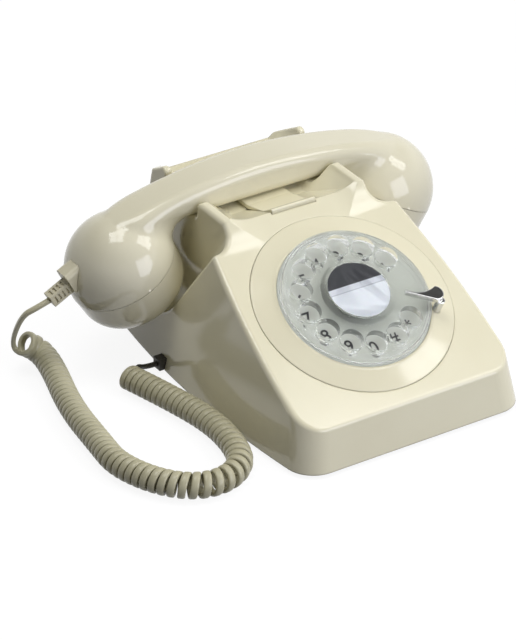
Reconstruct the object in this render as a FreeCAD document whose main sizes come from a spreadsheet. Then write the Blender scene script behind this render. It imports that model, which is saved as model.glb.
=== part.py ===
import FreeCAD, Part
import Sketcher
import math
import os

# A desk telephone with a rotary dial. Millimetres, +Z up, front at -Y, origin under the middle of
# the telephone on the surface that it stands on.

doc = FreeCAD.newDocument("telephone")
sheet = doc.addObject("Spreadsheet::Sheet", "sizes")

DRIVING_SIZES = {
    # Case outline at the table, and the leaning walls above it
    "case_depth": 210, "foot_gap": 2.5, "wall": 2.6,
    "side_half": 77.2, "side_widest": 91.7, "side_radius": 631,
    "lean_height": 100, "front_lean": 24, "rear_lean": 10.5,
    "top_side_half": 58, "top_side_widest": 29.3, "top_side_radius": 1070,
    "front_corner": 17, "rear_corner": 20, "top_corner": 12,
    # Sloped face
    "ridge_back": 5.85, "ridge_height": 23.6, "face_slope": 28.13, "face_edge": 3,
    # Cradle, measured back from the front edge and up from the case's lower edge
    "horn_foot_back": 105, "horn_front_back": 121.5, "horn_top": 90.3, "horn_round": 3.5, "horn_edge": 1.5,
    "cheek_half": 46, "rear_horn_top": 98, "rear_horn_run": 20, "rear_horn_drop": 11,
    "lip_back": 123.3, "trough_floor": 77, "trough_floor_half": 24, "trough_top_half": 41.5,
    "trough_slope_run": 24, "trough_round": 9, "lip_round": 3, "lip_flat_half": 23.5, "lip_bow": 40,
    "saddle_gap": 0.3, "horn_gap": 1.6,
    "notch_radius": 30.8, "notch_slope": 55.7, "notch_round": 12, "notch_edge": 2.5,
    # Base plate, feet and screws
    "plate_gap": 0.8, "base_thick": 2, "foot_radius": 7, "foot_x": 54, "foot_y": 82,
    "boss_radius": 4, "boss_top": 22, "screw_radius": 1.4, "screw_head": 3, "screw_fit": 0.1,
    "front_boss_x": 58, "rear_boss_x": 50, "boss_y": 78, "front_rib": 11.8, "rear_rib": 14.8,
    # Dial, measured along and out of the sloped face
    "dial_up": 65.7, "surround_radius": 57, "surround_flange": 2.6, "surround_rise": 3.2,
    "seat_gap": 0.2, "plate_radius": 43, "plate_under": 1, "plate_top": 3,
    "wheel_radius": 42.2, "wheel_skirt": 4, "wheel_under": 5.6, "wheel_top": 10.2, "hub_radius": 19.2,
    "hub_top": 13,
    "finger_hole": 6.4, "finger_ring": 31.3, "finger_pitch": 25.714, "first_hole": 28.9,
    "label_radius": 17.5, "label_under": 11.5, "label_thick": 0.8, "window_thick": 0.6,
    "shaft_radius": 4, "run_fit": 0.06, "frame_top": -7.4, "frame_thick": 1.6, "frame_radius": 46.5,
    "gear_module": 1.1, "gear_teeth": 48, "pinion_teeth": 12, "gear_top": -11, "gear_thick": 2,
    "pinion_angle": 195, "spindle_radius": 1.5, "drum_radius": 14, "drum_deep": 5,
    "stop_angle": -23.2, "stop_foot": 42.8, "stop_reach": 25.9, "stop_under": 11.4, "stop_thick": 2.6,
    "stop_lobe": 4.5, "stop_hollow": 15, "stop_post": 2.4, "post_angle": -26.7, "post_out": 46.2,
    # Hook bar in the cradle
    "bar_half": 14, "bar_thick": 2.4, "bar_fit": 0.4, "bar_front_back": 122.3, "bar_front_height": 88.9,
    "stem_back": 175, "stem_long": 28, "switch_top": 32,
    # Bell and board inside
    "gong_radius": 18, "gong_x": 23.5, "gong_back": 150, "gong_under": 28, "gong_height": 14,
    "gong_wall": 1.5, "clapper_back": 119, "hammer_radius": 3, "board_x": 62, "board_y": 44, "board_at": 8,
    # Handset
    "bulb_radius": 31.8, "bulb_apart": 84.4, "bulb_back": 164.7, "bulb_height": 54.4, "cap_tilt": 28,
    "handle_width": 29, "handle_bottom": 80, "handle_top": 99.6, "handle_arch": 304.3, "handle_round": 6,
    "neck_round": 14, "cap_reach": 26.6, "cap_front": 19, "cap_wall": 2.5, "cap_fit": 0.3,
    "capsule_radius": 24, "capsule_deep": 16, "cavity_radius": 27.5, "cavity_deep": 12,
    "exit_out": 2.1, "boss_tall": 14, "boss_low": 4.6, "boss_wide": 12,
    "boss_long": 16, "exit_height": 53.1, "exit_tilt": 117.3, "relief_long": 13, "relief_wide": 7,
    # Handset cord: the wire, the coil that it is wound to, and the coil's pitch where it is closed
    # and where the front bend has opened it
    "cord": 3.2, "coil": 15, "closed_pitch": 4.1, "open_pitch": 5.8,
}

for row, (name, amount) in enumerate(DRIVING_SIZES.items(), start=1):
    sheet.set("A%d" % row, name)
    sheet.set("B%d" % row, str(amount))
    sheet.setAlias("B%d" % row, name)
doc.recompute()

# Places that several pieces share, as expressions of the driving sizes
FRONT = "(-sizes.case_depth / 2)"
REAR = "(sizes.case_depth / 2)"
FLOOR = "sizes.foot_gap"
SLOPE = "(sizes.face_slope * 1 deg)"
RIDGE_Y = "(%s + sizes.ridge_back)" % FRONT
RIDGE_Z = "(%s + sizes.ridge_height)" % FLOOR
DIAL_Y = "(%s + sizes.dial_up * cos(%s))" % (RIDGE_Y, SLOPE)
DIAL_Z = "(%s + sizes.dial_up * sin(%s))" % (RIDGE_Z, SLOPE)
BULB_Y = "(%s + sizes.bulb_back)" % FRONT
BULB_Z = "(%s + sizes.bulb_height)" % FLOOR
UP = FreeCAD.Vector(0, 0, 1)
ACROSS = FreeCAD.Vector(1, 0, 0)


def size(name):
    return float(sheet.get(name))


def number(expression):
    return float(sheet.evalExpression(str(expression)))


def bind(thing, **expressions):
    for slot, expression in expressions.items():
        thing.setExpression(slot, str(expression))
    return thing


def put(thing, x=None, y=None, z=None, axis=None, angle=None):
    """Set a piece in its place, turned about one axis."""
    if axis is not None:
        turn = FreeCAD.Rotation(axis, number(angle))
        thing.Placement = FreeCAD.Placement(FreeCAD.Vector(), turn)
        thing.setExpression("Placement.Rotation.Angle", str(angle))
    for slot, expression in (("x", x), ("y", y), ("z", z)):
        if expression is not None:
            thing.setExpression("Placement.Base." + slot, str(expression))
    return thing


def on_face(thing, u="0", v="0", out="0"):
    """Lay a piece that was built flat on the sloped face, u across, v up the slope, out of it."""
    return put(thing, u, "%s + (%s) * cos(%s) - (%s) * sin(%s)" % (DIAL_Y, v, SLOPE, out, SLOPE),
               "%s + (%s) * sin(%s) + (%s) * cos(%s)" % (DIAL_Z, v, SLOPE, out, SLOPE),
               ACROSS, "sizes.face_slope")


def cylinder(name, radius, height, x=None, y=None, z=None, axis=None, angle=None):
    rod = bind(doc.addObject("Part::Cylinder", name), Radius=radius, Height=height)
    return put(rod, x, y, z, axis, angle)


def block(name, size_x, size_y, size_z, x, y, z):
    """A box centred on x and y that stands on z."""
    box = bind(doc.addObject("Part::Box", name), Length=size_x, Width=size_y, Height=size_z)
    return put(box, "%s - (%s) / 2" % (x, size_x), "%s - (%s) / 2" % (y, size_y), z)


def fuse(name, *things):
    joined = doc.addObject("Part::MultiFuse", name)
    joined.Shapes = list(things)
    joined.Refine = True
    return joined


def cut(name, base, *tools):
    removed = tools[0]
    if len(tools) > 1:
        removed = fuse(name + "_tools", *tools)
    rest = doc.addObject("Part::Cut", name)
    rest.Base = base
    rest.Tool = removed
    rest.Refine = True
    return rest


def overlap(name, *things):
    shared = doc.addObject("Part::MultiCommon", name)
    shared.Shapes = list(things)
    return shared


def group(name, *things):
    several = doc.addObject("Part::Compound", name)
    several.Links = list(things)
    return several


def mirrored(name, thing, normal=ACROSS):
    twin = doc.addObject("Part::Mirroring", name)
    twin.Source = thing
    twin.Normal = normal
    return twin


def rounded(name, base, radius, wanted):
    """Round the edges of a solid for which wanted(edge) holds."""
    doc.recompute()
    soft = doc.addObject("Part::Fillet", name)
    soft.Base = base
    picked = [i for i, edge in enumerate(base.Shape.Edges, start=1) if wanted(edge)]
    soft.Edges = [(i, radius, radius) for i in picked]
    return soft


def plane_of(body, role):
    return next(f for f in body.Origin.OriginFeatures if f.Role == role)


def sketch_on(body, name, role, lift=None):
    sketch = body.newObject("Sketcher::SketchObject", name)
    sketch.AttachmentSupport = (plane_of(body, role), [""])
    sketch.MapMode = "FlatFace"
    if lift is not None:
        sketch.setExpression("AttachmentOffset.Base.z", str(lift))
    return sketch


def trace(sketch, corners):
    """Draw a closed outline. A corner is (x, y), or (x, y, radius, side) where an arc follows it."""
    points = [FreeCAD.Vector(number(c[0]), number(c[1]), 0) for c in corners]
    ends = []
    for i, corner in enumerate(corners):
        start = points[i]
        stop = points[(i + 1) % len(points)]
        if len(corner) == 2:
            edge = sketch.addGeometry(Part.LineSegment(start, stop))
            ends.append((edge, 1, 2))
            continue
        radius = number(corner[2])
        chord = stop - start
        left = FreeCAD.Vector(-chord.y, chord.x, 0).normalize()
        sag = radius - math.sqrt(radius ** 2 - chord.Length ** 2 / 4)
        crown = (start + stop) / 2 + left * sag * corner[3]
        edge = sketch.addGeometry(Part.Arc(start, crown, stop))
        forward = sketch.getPoint(edge, 1).distanceToPoint(start) < 1e-6
        ends.append((edge, 1, 2) if forward else (edge, 2, 1))
        tie = sketch.addConstraint(Sketcher.Constraint("Radius", edge, radius))
        sketch.setExpression("Constraints[%d]" % tie, str(corner[2]))
    for i, (edge, first, last) in enumerate(ends):
        following = ends[(i + 1) % len(ends)]
        sketch.addConstraint(Sketcher.Constraint("Coincident", edge, last, following[0], following[1]))
    for (edge, first, last), corner, point in zip(ends, corners, points):
        for kind, along, expression, axis in (("DistanceX", point.x, corner[0], -2),
                                              ("DistanceY", point.y, corner[1], -1)):
            if str(expression) == "0":
                sketch.addConstraint(Sketcher.Constraint("PointOnObject", edge, first, axis))
                continue
            tie = sketch.addConstraint(Sketcher.Constraint(kind, -1, 1, edge, first, along))
            sketch.setExpression("Constraints[%d]" % tie, str(expression))
    return sketch


def prism(name, role, corners, length, both_ways=False, lift=None, backwards=False):
    """A body padded from one outline."""
    body = doc.addObject("PartDesign::Body", name)
    outline = trace(sketch_on(body, name + "_outline", role, lift), corners)
    pad = body.newObject("PartDesign::Pad", name + "_pad")
    pad.Profile = outline
    pad.Midplane = both_ways
    pad.Reversed = backwards
    pad.setExpression("Length", str(length))
    return body


def turned(name, corners):
    """A body turned about Z from an outline of (radius, height) corners."""
    body = doc.addObject("PartDesign::Body", name)
    outline = trace(sketch_on(body, name + "_outline", "XZ_Plane"), corners)
    lathe = body.newObject("PartDesign::Revolution", name + "_turn")
    lathe.Profile = outline
    lathe.ReferenceAxis = (outline, ["V_Axis"])
    lathe.Angle = 360
    return body


def patterned(body, name, kind, outline, depth, count, whole_turn):
    """Repeat a pad or a pocket drawn on one sketch around the body's own axis."""
    feature = body.newObject("PartDesign::" + kind, name)
    feature.Profile = outline
    if depth is None:
        feature.Type = "ThroughAll"
    else:
        feature.setExpression("Length", str(depth))
    around = body.newObject("PartDesign::PolarPattern", name + "s")
    around.Originals = [feature]
    around.Axis = (outline, ["N_Axis"])
    around.setExpression("Angle", str(whole_turn))
    around.setExpression("Occurrences", str(count))
    body.Tip = around
    return body


def circle_on(sketch, x, y, radius):
    edge = sketch.addGeometry(Part.Circle(FreeCAD.Vector(number(x), number(y), 0), UP, number(radius)))
    for kind, expression in (("DistanceX", x), ("DistanceY", y)):
        tie = sketch.addConstraint(Sketcher.Constraint(kind, -1, 1, edge, 3, number(expression)))
        sketch.setExpression("Constraints[%d]" % tie, str(expression))
    tie = sketch.addConstraint(Sketcher.Constraint("Radius", edge, number(radius)))
    sketch.setExpression("Constraints[%d]" % tie, str(radius))
    return sketch


def behind(back):
    return "(%s + %s)" % (FRONT, back)


def above(height):
    return "(%s + %s)" % (FLOOR, height)


# Case form: a leaning box with bowed sides and round corners, whose hollow has the same outline
# drawn in by the wall.

def case_outline(sketch, inset, front, rear, half, widest, bow, front_corner, rear_corner):
    bow_radius = "(%s - %s)" % (bow, inset)
    bow_x = "(%s - %s)" % (half, bow)
    ends = []
    for edge_y, corner, inward in ((front, front_corner, 1), (rear, rear_corner, -1)):
        radius = "(%s - %s)" % (corner, inset)
        line_y = "(%s + %d * %s)" % (edge_y, inward, inset)
        rise = "(%s + %d * %s - %s)" % (line_y, inward, radius, widest)
        reach = "(%s - %s)" % (bow_radius, radius)
        run = "sqrt(%s * %s - %s * %s)" % (reach, reach, rise, rise)
        on_line = "(%s + %s)" % (bow_x, run)
        on_bow = "(%s + %s * %s / %s)" % (bow_x, bow_radius, run, reach)
        on_bow_y = "(%s + %s * %s / %s)" % (widest, bow_radius, rise, reach)
        ends.append((radius, line_y, on_line, on_bow, on_bow_y))
    (near_r, near_y, near_x, near_bow, near_bow_y), (far_r, far_y, far_x, far_bow, far_bow_y) = ends
    return trace(sketch, [
        ("-" + near_x, near_y), (near_x, near_y, near_r, -1),
        (near_bow, near_bow_y, bow_radius, -1), (far_bow, far_bow_y, far_r, -1),
        (far_x, far_y), ("-" + far_x, far_y, far_r, -1),
        ("-" + far_bow, far_bow_y, bow_radius, -1), ("-" + near_bow, near_bow_y, near_r, -1)])


def case_block(name, inset):
    body = doc.addObject("PartDesign::Body", name)
    low = case_outline(sketch_on(body, name + "_low", "XY_Plane", FLOOR), inset, FRONT, REAR,
                       "sizes.side_half", behind("sizes.side_widest"), "sizes.side_radius",
                       "sizes.front_corner", "sizes.rear_corner")
    high = case_outline(sketch_on(body, name + "_high", "XY_Plane", above("sizes.lean_height")), inset,
                        "(%s + sizes.front_lean)" % FRONT, "(%s - sizes.rear_lean)" % REAR,
                        "sizes.top_side_half", behind("sizes.top_side_widest"),
                        "sizes.top_side_radius", "sizes.top_corner", "sizes.top_corner")
    loft = body.newObject("PartDesign::AdditiveLoft", name + "_walls")
    loft.Profile = low
    loft.Sections = [high]
    loft.Ruled = True
    return body


FAR = 400
HANDLE_FRONT = "(sizes.bulb_back - sizes.handle_width / 2 - sizes.horn_gap)"
HANDLE_REAR = "(sizes.bulb_back + sizes.handle_width / 2 + sizes.horn_gap)"


def face_height(back, drop="0"):
    """Height over the case's lower edge of the sloped face, or of a line below it."""
    return "(sizes.ridge_height + (%s - sizes.ridge_back) * tan(%s) - %s)" % (back, SLOPE, drop)


def side_cutter(name, corners, width=FAR):
    """A cutter drawn in side view as (back, height) corners and run across the telephone."""
    placed = [(behind(c[0]), above(c[1])) + tuple(c[2:]) for c in corners]
    return prism(name, "YZ_Plane", placed, width, both_ways=True)


def along_x(edge, back, height):
    middle = edge.BoundBox.Center
    here = abs(middle.y - number(behind(back))) < 0.01 and abs(middle.z - number(above(height))) < 0.01
    return here and edge.BoundBox.XLength > 1


def notch_cutter(name, grow):
    """The pocket beside the cradle in which one end of the handset hangs."""
    radius = "(sizes.notch_radius + %s)" % grow
    tilt = "(sizes.notch_slope * 1 deg)"
    side = "(%s * sin(%s))" % (radius, tilt)
    low = "(sizes.bulb_height - %s * cos(%s))" % (radius, tilt)
    run = "(%d / tan(%s))" % (FAR, tilt)
    inner = "(sizes.cheek_half - %s)" % grow
    corners = [("sizes.bulb_back - %s - %s" % (side, run), "%s + %d" % (low, FAR)),
               ("sizes.bulb_back - %s" % side, low, radius, -1),
               ("sizes.bulb_back + %s" % side, low),
               ("sizes.bulb_back + %s + %s" % (side, run), "%s + %d" % (low, FAR))]
    placed = [(behind(c[0]), above(c[1])) + tuple(c[2:]) for c in corners]
    sharp = prism(name + "_sharp", "YZ_Plane", placed, "sizes.side_half", lift=inner)
    wall_x = number(inner)
    top = number(above(low)) + FAR
    return rounded(name, sharp, size("notch_round") + number(grow),
                   lambda e: e.BoundBox.XMax < wall_x + 0.01 and e.BoundBox.ZMin < top - 1)


# Upper case: one ivory moulding with a sloped face, four horns, a hand trough between them and a
# pocket on each side for the ends of the handset.

case_form = case_block("case_form", "0")
HORN_RUN = "(sizes.horn_front_back - sizes.horn_foot_back)"
HORN_FOOT = face_height("sizes.horn_foot_back")
HORN_RISE = "(sizes.horn_top - %s)" % HORN_FOOT
HORN_SWEEP = "(sqrt(%s * %s + %s * %s) / (2 * sin(atan(%s / %s) - %s)))" % (
    HORN_RUN, HORN_RUN, HORN_RISE, HORN_RISE, HORN_RISE, HORN_RUN, SLOPE)
face_cutter = side_cutter("face_cutter", [
    ("-50", face_height("-50")), ("sizes.horn_foot_back", HORN_FOOT, HORN_SWEEP, -1),
    ("sizes.horn_front_back", "sizes.horn_top"), ("sizes.bulb_back", "sizes.horn_top"),
    ("sizes.bulb_back", face_height("sizes.bulb_back")), ("400", face_height("400")), ("400", "400"),
    ("-50", "400")])
case_wedge = cut("case_wedge", case_form, face_cutter)


def on_face_rim(edge):
    lean = math.radians(size("face_slope"))
    for at in (0.0, 0.5, 1.0):
        point = edge.valueAt(edge.FirstParameter + at * (edge.LastParameter - edge.FirstParameter))
        off = (point.z - number(RIDGE_Z)) * math.cos(lean) - (point.y - number(RIDGE_Y)) * math.sin(lean)
        if abs(off) > 0.01:
            return False
    return edge.BoundBox.ZLength > 1 or edge.BoundBox.ZMax < size("lean_height") / 2


case_soft = rounded("case_soft", case_wedge, size("face_edge"), on_face_rim)

notch_right = notch_cutter("notch_right", "0")
notch_left = mirrored("notch_left", notch_right)
case_notched = cut("case_notched", case_soft, notch_right, notch_left)


def fold(solid, edge):
    """Angle in degrees between the two faces that meet at an edge."""
    faces = solid.ancestorsOfType(edge, Part.Face)
    if len(faces) != 2:
        return 0
    middle = edge.valueAt((edge.FirstParameter + edge.LastParameter) / 2)
    normals = [face.normalAt(*face.Surface.parameter(middle)) for face in faces]
    return math.degrees(normals[0].getAngle(normals[1]))


def on_notch_rim(edge):
    box = edge.BoundBox
    beside = max(box.XMin, -box.XMax) > size("cheek_half") - 6
    over_floor = box.ZMax > number(above("sizes.bulb_height - sizes.notch_radius")) - 1.6
    under_top = box.ZMax < number(above("sizes.lean_height")) - 0.1
    behind_foot = box.YMax > number(behind("sizes.horn_foot_back")) - 8
    return beside and over_floor and under_top and behind_foot and fold(case_notched.Shape, edge) > 40


case_pocketed = rounded("case_pocketed", case_notched, size("notch_edge"), on_notch_rim)

SADDLE = "(sizes.handle_bottom - sizes.saddle_gap)"
REAR_SLOPE = "(sizes.rear_horn_drop / sizes.rear_horn_run)"
cradle_sharp = side_cutter("cradle_sharp", [
    ("60", "sizes.horn_top"), (HANDLE_FRONT, "sizes.horn_top"), (HANDLE_FRONT, SADDLE),
    (HANDLE_REAR, SADDLE), (HANDLE_REAR, "sizes.rear_horn_top"),
    ("300", "sizes.rear_horn_top - (300 - %s) * %s" % (HANDLE_REAR, REAR_SLOPE)),
    ("300", "400"), ("60", "400")])
cradle_cutter = rounded("cradle_cutter", cradle_sharp, size("horn_round"), lambda e: any(
    along_x(e, back, height) for back, height in (
        (HANDLE_FRONT, "sizes.horn_top"), (HANDLE_FRONT, SADDLE), (HANDLE_REAR, SADDLE),
        (HANDLE_REAR, "sizes.rear_horn_top"))))

TROUGH_FRONT = "(sizes.lip_back + sizes.trough_slope_run)"
LIP_FLARE = "(sizes.trough_top_half - sizes.lip_flat_half)"
TROUGH_REAR = "(%s + sizes.horn_gap)" % HANDLE_REAR
LIP = face_height("sizes.lip_back")
trough_sharp = side_cutter("trough_sharp", [
    ("sizes.lip_back", "400"), ("sizes.lip_back", LIP),
    (TROUGH_FRONT, "sizes.trough_floor"), (TROUGH_REAR, "sizes.trough_floor"),
    ("%s + sizes.trough_slope_run" % TROUGH_REAR, LIP), ("300", LIP), ("300", "400")])
trough_side = rounded("trough_side", trough_sharp, size("lip_round"), lambda e: any(
    along_x(e, back, height) for back, height in (
        (TROUGH_FRONT, "sizes.trough_floor"), ("%s + sizes.trough_slope_run" % TROUGH_REAR, LIP))))
trough_front_view = prism("trough_front_view", "XZ_Plane", [
    ("-sizes.trough_floor_half", above("sizes.trough_floor - 0.5")),
    ("sizes.trough_floor_half", above("sizes.trough_floor - 0.5")),
    ("sizes.trough_top_half", above("sizes.horn_top")), ("sizes.trough_top_half", "400"),
    ("-sizes.trough_top_half", "400"), ("-sizes.trough_top_half", above("sizes.horn_top"))],
    2 * FAR, both_ways=True)
trough_soft = rounded("trough_soft", trough_front_view, size("trough_round"),
                      lambda e: e.BoundBox.YLength > 1 and e.BoundBox.ZMax < 300)
trough_cutter = overlap("trough_cutter", trough_side, trough_soft)
SAG = "(sizes.lip_bow - sqrt(sizes.lip_bow * sizes.lip_bow - %s * %s))" % (LIP_FLARE, LIP_FLARE)
FOOT_UP = "((sizes.horn_foot_back - sizes.ridge_back) / cos(%s) - sizes.dial_up)" % SLOPE
LIP_UP = "((sizes.lip_back - sizes.ridge_back) / cos(%s) - sizes.dial_up)" % SLOPE
lip_bow = on_face(prism("lip_bow", "XZ_Plane", [
    ("-sizes.lip_flat_half", "0"), ("sizes.lip_flat_half", "0", "sizes.lip_bow", -1),
    ("sizes.trough_top_half", SAG), ("sizes.trough_top_half", "60"), ("-sizes.trough_top_half", "60"),
    ("-sizes.trough_top_half", SAG, "sizes.lip_bow", -1)],
    "%s - %s + 12" % (LIP_UP, FOOT_UP), lift="-%s - 4" % LIP_UP))

case_cradled = cut("case_cradled", case_pocketed, cradle_cutter, trough_cutter, lip_bow)


def on_horn_rim(edge):
    box = edge.BoundBox
    inner = max(box.XMin, -box.XMax)
    outer = max(-box.XMin, box.XMax)
    handle = number(behind(HANDLE_FRONT)) - 0.05
    rear_end = number(behind(HANDLE_REAR)) + 0.9 * size("rear_horn_run")
    on_cheek = inner > size("cheek_half") - 0.1 and box.YMin > handle
    on_trough = (inner > size("trough_floor_half") + 3 and outer < size("trough_top_half") + 0.5
                 and box.YMax > handle - size("horn_round"))
    return (on_cheek or on_trough) and box.YMax < rear_end and fold(case_cradled.Shape, edge) > 25


case_outside = rounded("case_outside", case_cradled, size("horn_edge"), on_horn_rim)

WALL_DROP = "(sizes.wall / cos(%s))" % SLOPE
CEILING = "(sizes.trough_floor - sizes.wall)"
CEILING_BACK = "(sizes.ridge_back + (%s + %s - sizes.ridge_height) / tan(%s))" % (CEILING, WALL_DROP, SLOPE)
case_core = case_block("case_core", "sizes.wall")
core_roof = side_cutter("core_roof", [
    ("-50", face_height("-50", WALL_DROP)), (CEILING_BACK, CEILING), ("400", CEILING), ("400", "400"),
    ("-50", "400")])
notch_inner_right = notch_cutter("notch_inner_right", "sizes.wall")
notch_inner_left = mirrored("notch_inner_left", notch_inner_right)
hollow = cut("hollow", case_core, core_roof, notch_inner_right, notch_inner_left)
dial_opening = on_face(bind(doc.addObject("Part::Cylinder", "dial_opening"), Height=40,
                            Radius="sizes.surround_radius + sizes.seat_gap"), out="-20")
flange_recess = on_face(bind(doc.addObject("Part::Cylinder", "flange_recess"), Height="20 - sizes.wall",
                             Radius="sizes.surround_radius + sizes.surround_flange + 0.4"), out="-20")

BAR_SLOT_Y = "(%s)" % behind("sizes.bar_front_back - sizes.bar_fit")
BAR_SLOT = "(%s - sizes.bar_front_back + sizes.bar_fit)" % HANDLE_FRONT
STEM_Y = behind("sizes.stem_back")
bar_slot = block("bar_slot", "2 * (sizes.bar_half + sizes.bar_fit)", BAR_SLOT, 60, "0",
                 "%s + %s / 2" % (BAR_SLOT_Y, BAR_SLOT), above("sizes.trough_floor - 8"))
stem_hole = block("stem_hole", "8 + 2 * sizes.bar_fit", "5 + 2 * sizes.bar_fit", 20, "0", STEM_Y,
                  above("sizes.trough_floor - 10"))
CORD_Y = 33.7
cord_hole = block("cord_hole", 30, 7, 7, "-sizes.side_half", CORD_Y, FLOOR)
socket_hole = block("socket_hole", 14, 30, 12, 25, REAR, 12)
BOSSES = [("front_left", "-sizes.front_boss_x", "-sizes.boss_y", -1),
          ("front_right", "sizes.front_boss_x", "-sizes.boss_y", 1),
          ("rear_left", "-sizes.rear_boss_x", "sizes.boss_y", -1),
          ("rear_right", "sizes.rear_boss_x", "sizes.boss_y", 1)]
BASE_TOP = "(%s + sizes.base_thick)" % FLOOR
bosses = []
boss_bores = []
for spot, x, y, side in BOSSES:
    reach = "sizes.front_rib" if "front" in spot else "sizes.rear_rib"
    tall = "sizes.boss_top - " + BASE_TOP
    bosses.append(cylinder("boss_" + spot, "sizes.boss_radius", tall, x, y, BASE_TOP))
    bosses.append(block("rib_" + spot, reach, 2, tall, "%s + %d * %s / 2" % (x, side, reach), y, BASE_TOP))
    boss_bores.append(cylinder("boss_bore_" + spot, "sizes.screw_radius + sizes.screw_fit", 12, x, y,
                               BASE_TOP))
case_open = cut("case_open", case_outside, hollow, dial_opening, flange_recess, bar_slot, stem_hole,
                cord_hole, socket_hole)
case_bossed = fuse("case_bossed", case_open, *bosses)
upper_case = cut("upper_case", case_bossed, *boss_bores)

# Base plate: a steel sheet that closes the case from below and carries the bell and the board.

plate_sheet = doc.addObject("PartDesign::Body", "plate_sheet")
plate_outline = case_outline(sketch_on(plate_sheet, "plate_outline", "XY_Plane", FLOOR),
                             "(sizes.wall + sizes.plate_gap)", FRONT, REAR, "sizes.side_half",
                             behind("sizes.side_widest"), "sizes.side_radius", "sizes.front_corner",
                             "sizes.rear_corner")
plate_pad = plate_sheet.newObject("PartDesign::Pad", "plate_pad")
plate_pad.Profile = plate_outline
plate_pad.setExpression("Length", "sizes.base_thick")
BOARD_Y = -38
GONG_Y = behind("sizes.gong_back")
posts = []
gong_bores = []
for side in (-1, 1):
    gong_seat = "sizes.gong_under + sizes.gong_height - sizes.gong_wall"
    posts.append(cylinder("gong_post%d" % side, 4, "%s - %s" % (gong_seat, BASE_TOP),
                          "%d * sizes.gong_x" % side, GONG_Y, BASE_TOP))
    gong_bores.append(cylinder("gong_bore%d" % side, "2 + sizes.run_fit", 40, "%d * sizes.gong_x" % side,
                               GONG_Y, "sizes.gong_under"))
    for end in (-1, 1):
        posts.append(cylinder("board_post%d_%d" % (side, end), 3, "sizes.board_at - " + BASE_TOP,
                              "%d * (sizes.board_x / 2 - 5)" % side,
                              "%d + %d * (sizes.board_y / 2 - 5)" % (BOARD_Y, end), BASE_TOP))
plate_posted = fuse("plate_posted", plate_sheet, *posts)
plate_bores = [cylinder("plate_bore_" + spot, "sizes.screw_radius + sizes.screw_fit", 10, x, y, "0")
               for spot, x, y, side in BOSSES]
base_plate = cut("base_plate", plate_posted, *(plate_bores + gong_bores))

feet = []
screws = []
for spot, x, y, side in BOSSES:
    foot_y = "sizes.foot_y" if "rear" in spot else "-sizes.foot_y - 3"
    foot = bind(doc.addObject("Part::Cone", "foot_" + spot), Radius1="sizes.foot_radius - 1",
                Radius2="sizes.foot_radius", Height=FLOOR)
    feet.append(put(foot, "%d * (sizes.foot_x - 16)" % side, foot_y, "0"))
    head = cylinder("screw_head_" + spot, "sizes.screw_head", 1.5, x, y, "%s - 1.5" % FLOOR)
    shank = cylinder("screw_shank_" + spot, "sizes.screw_radius", 11, x, y, FLOOR)
    screws.append(fuse("screw_" + spot, head, shank))
rubber_feet = group("rubber_feet", *feet)
case_screws = group("case_screws", *screws)

# Line socket in the rear wall and the rubber sleeve where the handset cord goes in.

socket_body = block("socket_body", 13.6, 15, 11.6, 25, "%s - 9.5" % REAR, 12.2)
socket_mouth = block("socket_mouth", 10, 15, 8, 25, "%s - 5" % REAR, 14)
line_socket = cut("line_socket", socket_body, socket_mouth)
cord_grommet = block("cord_grommet", 6.3, 6.6, 6.4, "-sizes.side_half + 1.65", CORD_Y, "%s + 0.3" % FLOOR)

# Dial, fixed: the ring that trims the opening, the number plate, the finger stop and the frame.

surround_ring = on_face(turned("surround_ring", [
    ("sizes.plate_radius - 3.2", "-sizes.wall - 1.4"),
    ("sizes.surround_radius + sizes.surround_flange", "-sizes.wall - 1.4"),
    ("sizes.surround_radius + sizes.surround_flange", "-sizes.wall - sizes.seat_gap"),
    ("sizes.surround_radius", "-sizes.wall - sizes.seat_gap"), ("sizes.surround_radius", 0.3),
    ("sizes.plate_radius + 1.8", "sizes.surround_rise"),
    ("sizes.plate_radius + sizes.seat_gap", "sizes.surround_rise"),
    ("sizes.plate_radius + sizes.seat_gap", "sizes.plate_under"),
    ("sizes.plate_radius - 3.2", "sizes.plate_under")]))
STOP = "(sizes.stop_angle * 1 deg)"
POST_U = "(sizes.post_out * cos(sizes.post_angle * 1 deg))"
POST_V = "(sizes.post_out * sin(sizes.post_angle * 1 deg))"
stop_bore = on_face(bind(doc.addObject("Part::Cylinder", "stop_bore"), Height=20,
                         Radius="sizes.stop_post + sizes.run_fit"), POST_U, POST_V, "-10")
dial_surround = cut("dial_surround", surround_ring, stop_bore)

PLATE_BORE = "(sizes.shaft_radius + 0.8)"
number_plate = on_face(turned("number_plate", [
    (PLATE_BORE, "sizes.plate_under"), ("sizes.plate_radius", "sizes.plate_under"),
    ("sizes.plate_radius", "sizes.plate_top"), (PLATE_BORE, "sizes.plate_top")]))


def spun(u, v):
    """A point of the finger stop, u out from the dial's middle along it, v to its upper side."""
    return ("(%s) * cos(%s) - (%s) * sin(%s)" % (u, STOP, v, STOP),
            "(%s) * sin(%s) + (%s) * cos(%s)" % (u, STOP, v, STOP))


LOBE = "sizes.stop_lobe"
stop_arm = on_face(prism("stop_arm", "XY_Plane", [
    spun("sizes.stop_reach", "-0.9"), spun("sizes.stop_foot", "-" + LOBE) + (LOBE, -1),
    spun("sizes.stop_foot + " + LOBE, "0") + (LOBE, -1),
    spun("sizes.stop_foot", LOBE) + ("sizes.stop_hollow", 1),
    spun("sizes.stop_reach", "0.9")], "sizes.stop_thick", lift="sizes.stop_under"))
stop_post = on_face(bind(doc.addObject("Part::Cylinder", "stop_post"), Radius="sizes.stop_post",
                         Height="sizes.stop_under + sizes.wall + 1.4"),
                    POST_U, POST_V, "-sizes.wall - 1.4")
finger_stop = fuse("finger_stop", stop_arm, stop_post)

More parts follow.
